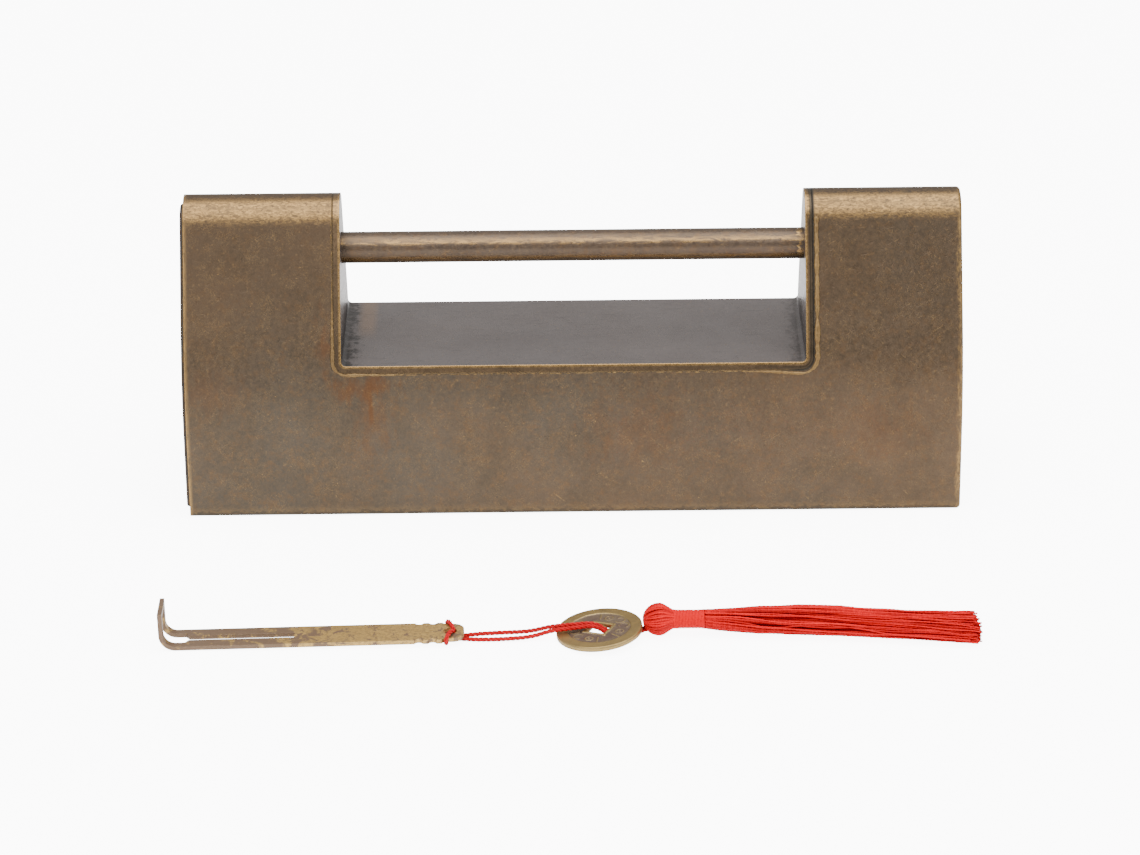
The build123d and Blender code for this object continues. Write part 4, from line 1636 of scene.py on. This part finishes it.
@dataclass
class BrazeSeam:
    """The uneven bead of braze metal where the lining meets the folded sheet."""

    recess: RecessPlace
    step: float = 0.22 * MM
    half_width: float = 0.74 * MM
    height: float = 0.36 * MM
    outward: float = 0.30 * MM
    keyhole_outward: float = 0.98 * MM
    start_drop: float = 0.0046
    corner_steps: int = 24
    sides: int = 10

    def route(self, top: float) -> list[tuple[float, float]]:
        """Work out the seam's line.

        Args:
            top: The height where it starts and ends.

        Returns:
            Its points as x and z, from the bolt horn's top round to the keyhole horn's top.
        """
        side = self.recess.side + self.recess.lining + self.outward
        floor = self.recess.floor - self.recess.lining - self.outward
        corner = self.recess.corner + self.recess.lining + self.outward

        def arc(centre: float, first: float) -> list[tuple[float, float]]:
            """Return a rounded corner, a quarter turn from its first angle."""
            turns = [first + math.pi / 2 * k / self.corner_steps for k in range(self.corner_steps + 1)]
            return [(centre + corner * math.cos(a), floor + corner + corner * math.sin(a)) for a in turns]

        line = [(-side, z) for z in np.arange(top, floor + corner, -self.step)]
        line += arc(-side + corner, math.pi)
        line += [(x, floor) for x in np.arange(-side + corner, side - corner, self.step)][1:]
        line += arc(side - corner, -math.pi / 2)
        line += [(side, z) for z in np.arange(floor + corner, top, self.step)][1:]
        return [(float(x), float(z)) for x, z in line]

    def strength(self, x: float, z: float, seed: float) -> float:
        """Work out how full the bead is at a place on the seam.

        Args:
            x: The place along X.
            z: Its height.
            seed: Sets one face's bead apart from the other's.

        Returns:
            The fullness, from 0 to about 1.
        """
        floor = self.recess.floor
        if x > self.recess.side:
            full = 1.0
        elif x < -self.recess.side:
            full = 0.62 * max(0.0, min(1.0, (floor + 0.020 - z) / 0.012)) + 0.10
        else:
            corner = (self.recess.side - abs(x)) / 0.020
            full = 0.10 + 0.56 * max(0.0, 1.0 - corner)
        rough = noise.noise(Vector((x * 260, z * 260, seed)))
        fine = noise.noise(Vector((x * 1000, z * 1000, seed + 5)))
        return max(0.0, full * (0.85 + 0.60 * rough) + 0.28 * fine)

    def build(self, shell: bpy.types.Object, material: bpy.types.Material) -> None:
        """Lay the bead on both faces of the case.

        Args:
            shell: The folded sheet that it lies on.
            material: The braze's material.
        """
        tree = BVHTree.FromObject(shell, bpy.context.evaluated_depsgraph_get())
        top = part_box("recess_lining")[1].z - self.start_drop
        for name, front, seed in (("braze_bead_front", -1.0, 1.0), ("braze_bead_back", 1.0, 9.0)):
            maker = MeshMaker()
            rings: list[list[Vector]] = []
            line = self.route(top)
            for index, (x, z) in enumerate(line):
                hit, normal, _, _ = tree.ray_cast(Vector((x, front * 0.2, z)), Vector((0.0, -front, 0.0)))
                before, after = line[max(index - 1, 0)], line[min(index + 1, len(line) - 1)]
                along = Vector((after[0], 0.0, after[1])) - Vector((before[0], 0.0, before[1]))
                across = along.normalized().cross(Vector((0.0, 1.0, 0.0)))
                across = (across - normal * across.dot(normal)).normalized()
                fill = self.strength(x, z, seed)
                share = max(0.0, min(1.0, (x - self.recess.side + 0.012) / 0.010))
                drift = across * ((self.outward - self.keyhole_outward) * share)
                drift += across * (0.14 * MM * noise.noise(Vector((x * 160, z * 160, seed + 2))))
                wide, high = self.half_width * fill + 0.02 * MM, self.height * fill + 0.01 * MM
                ring = []
                for k in range(self.sides):
                    angle = 2 * math.pi * k / self.sides
                    lump = 1.0 + 0.22 * noise.noise(Vector((x * 1900 + k, z * 1900, seed)))
                    outwards = across * (wide * lump * math.cos(angle))
                    upwards = normal * (high * lump * math.sin(angle) - 0.03 * MM)
                    ring.append(hit + drift + outwards + upwards)
                rings.append(ring)
            maker.ring_tube(rings, 1.0)
            maker.finish(name, "case", "braze", material)


class Finishes:
    """Every material of the lock and its key set."""

    def __init__(self, recess: RecessPlace, ridge: float) -> None:
        """Make the materials.

        Args:
            recess: Where the recess lies.
            ridge: The height of the ridge's top.
        """
        fine = (900.0, 2200.0, 2200.0)
        # Rubbed metal on the ridge, laid where the ridge's highlight falls: partly wear and partly painted
        # highlight.
        ridge_rubs_and_highlights = (
            RubAndHighlight(2, ridge - 0.0059, ridge - 0.0034, ridge - 0.0022, ridge - 0.0008, 0.72, 0.0005, fine),
            RubAndHighlight(2, ridge - 0.0020, ridge - 0.0012, ridge - 0.0004, ridge - 0.0001, 0.70, 0.0005, fine),
        )
        foot_rub = RubAndHighlight(2, 0.0008, 0.0018, 0.0020, 0.0032, 0.16, 0.0008, (500.0, 900.0, 900.0))
        # Rubbed metal on the case's end rims, laid where their edge highlights fall: partly wear and partly
        # painted highlight.
        end_rubs_and_highlights = (
            RubAndHighlight(0, -0.1012, -0.1006, -0.0999, -0.0988, 0.80, 0.0003, (900.0, 300.0, 300.0)),
            RubAndHighlight(0, 0.0982, 0.0997, 0.1010, 0.1012, 0.50, 0.0005, (900.0, 300.0, 300.0)),
        )
        case = AgedBrass(
            "aged_brass",
            deep=(0.046, 0.032, 0.019),
            body=(0.090, 0.057, 0.033),
            light=(0.118, 0.081, 0.048),
            rubs_and_highlights=(*ridge_rubs_and_highlights, *end_rubs_and_highlights, foot_rub),
            # Painted shade towards the top of the case.
            painted_upper_shade_amount=0.52,
            foot_wear=0.15,
            rust_spots=True,
            seam=SeamStyle.SKIN,
        )
        lining = AgedBrass(
            "dark_brass",
            deep=(0.112, 0.092, 0.086),
            body=(0.162, 0.136, 0.127),
            light=(0.178, 0.152, 0.142),
            cool=(0.146, 0.128, 0.124),
            warmth=0.0,
            metallic=0.8,
            roughness=0.34,
            edge_width=0.0005,
            fleck_amount=0.1,
            wave=0.5,
            tooth=0.5,
            rubs_and_highlights=ridge_rubs_and_highlights,
            seam=SeamStyle.LINING,
        )
        plate = AgedBrass(
            "dark_plate_brass",
            deep=(0.020, 0.016, 0.014),
            body=(0.040, 0.031, 0.025),
            light=(0.060, 0.046, 0.034),
            cool=(0.035, 0.030, 0.027),
            edge_amount=0.35,
            fleck_amount=0.40,
        )
        wall = AgedBrass(
            "end_wall_brass",
            deep=(0.046, 0.034, 0.022),
            body=(0.085, 0.056, 0.034),
            light=(0.110, 0.078, 0.048),
            edge_amount=0.6,
        )
        side = recess.side
        ring = RubAndHighlight(0, side - 0.0016, side - 0.0012, side - 0.0006, side - 0.0003, 0.7)
        bar = AgedBrass(
            "worn_brass",
            deep=(0.040, 0.027, 0.019),
            body=(0.092, 0.060, 0.038),
            light=(0.125, 0.087, 0.054),
            cool=(0.068, 0.050, 0.039),
            roughness=0.36,
            fleck_amount=0.38,
            wave=0.7,
            rubs_and_highlights=(
                # Painted highlights: these two bands lie along the bar where its highlight lines fall; the
                # ring at the wall is rubbed wear.
                RubAndHighlight(2, 0.0672, 0.0678, 0.0682, 0.0688, 0.5, 0.0006, (150.0, 900.0, 900.0)),
                RubAndHighlight(2, 0.0626, 0.0632, 0.0637, 0.0643, 0.55, 0.0006, (120.0, 900.0, 900.0)),
                ring,
            ),
        )
        inner = AgedBrass(
            "inner_brass", deep=(0.12, 0.085, 0.05), body=(0.21, 0.155, 0.085), light=(0.26, 0.20, 0.11)
        )
        spring = AgedBrass(
            "spring_brass",
            deep=(0.21, 0.15, 0.075),
            body=(0.33, 0.24, 0.12),
            light=(0.38, 0.29, 0.155),
            cool=(0.28, 0.21, 0.125),
            metallic=0.9,
            roughness=0.32,
        )
        braze = AgedBrass(
            "braze",
            deep=(0.100, 0.060, 0.026),
            body=(0.190, 0.118, 0.045),
            light=(0.240, 0.155, 0.066),
            cool=(0.150, 0.095, 0.040),
            metal=(0.34, 0.21, 0.08),
            metallic=0.85,
            roughness=0.44,
            fleck_amount=0.5,
            edge_amount=0.12,
        )
        aged = (case, lining, plate, wall, bar, inner, spring, braze)
        self.by_slot = {finish.name: finish.build(recess) for finish in aged}
        self.by_slot["bright_brass"] = KeyBrass().build()
        self.by_slot["coin_brass"] = CoinBrass().build()
        self.by_slot["red_cord"] = RedThread("red_cord", bright=(0.47, 0.004, 0.010)).build()
        self.by_slot["red_thread"] = RedThread("red_thread").build()


NODE_FINISH = {
    "case_shell": "aged_brass",
    "base_plate": "aged_brass",
    "bolt_end_wall": "end_wall_brass",
    "keyhole_end_plate": "end_wall_brass",
    "recess_lining": "dark_brass",
    "bolt_end_plate": "dark_plate_brass",
    "shackle_bar": "worn_brass",
    "catch_plate": "inner_brass",
    "ward_fin": "inner_brass",
    "stem_bar": "inner_brass",
    "side_leaf_rivet": "inner_brass",
    "top_leaf_rivet": "inner_brass",
    "leaf_front": "spring_brass",
    "leaf_back": "spring_brass",
    "leaf_top": "spring_brass",
    "key_blade": "bright_brass",
}


def dress_nodes(finishes: Finishes) -> None:
    """Give every CAD node that shows its finish.

    Args:
        finishes: The materials.
    """
    for name, slot in NODE_FINISH.items():
        mesh = NODES[name].data
        mesh.materials.clear()
        mesh.materials.append(finishes.by_slot[slot])
        LOG.info("%s wears %s", name, slot)


def main() -> None:
    """Build the scene in order and report each piece."""
    logging.basicConfig(level=logging.INFO, format="%(name)s: %(message)s")
    Studio().build()
    recess = RecessPlace.read()
    finishes = Finishes(recess, ridge=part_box("case_shell")[1].z)
    key_cord = KeyCord()
    strands = key_cord.build(finishes.by_slot["red_cord"])
    coin = Coin().build(finishes.by_slot["coin_brass"])
    tassel = Tassel().build(finishes.by_slot["red_thread"])
    BrazeSeam(recess).build(NODES["case_shell"], finishes.by_slot["braze"])
    dress_nodes(finishes)


if __name__ == "__main__":
    main()
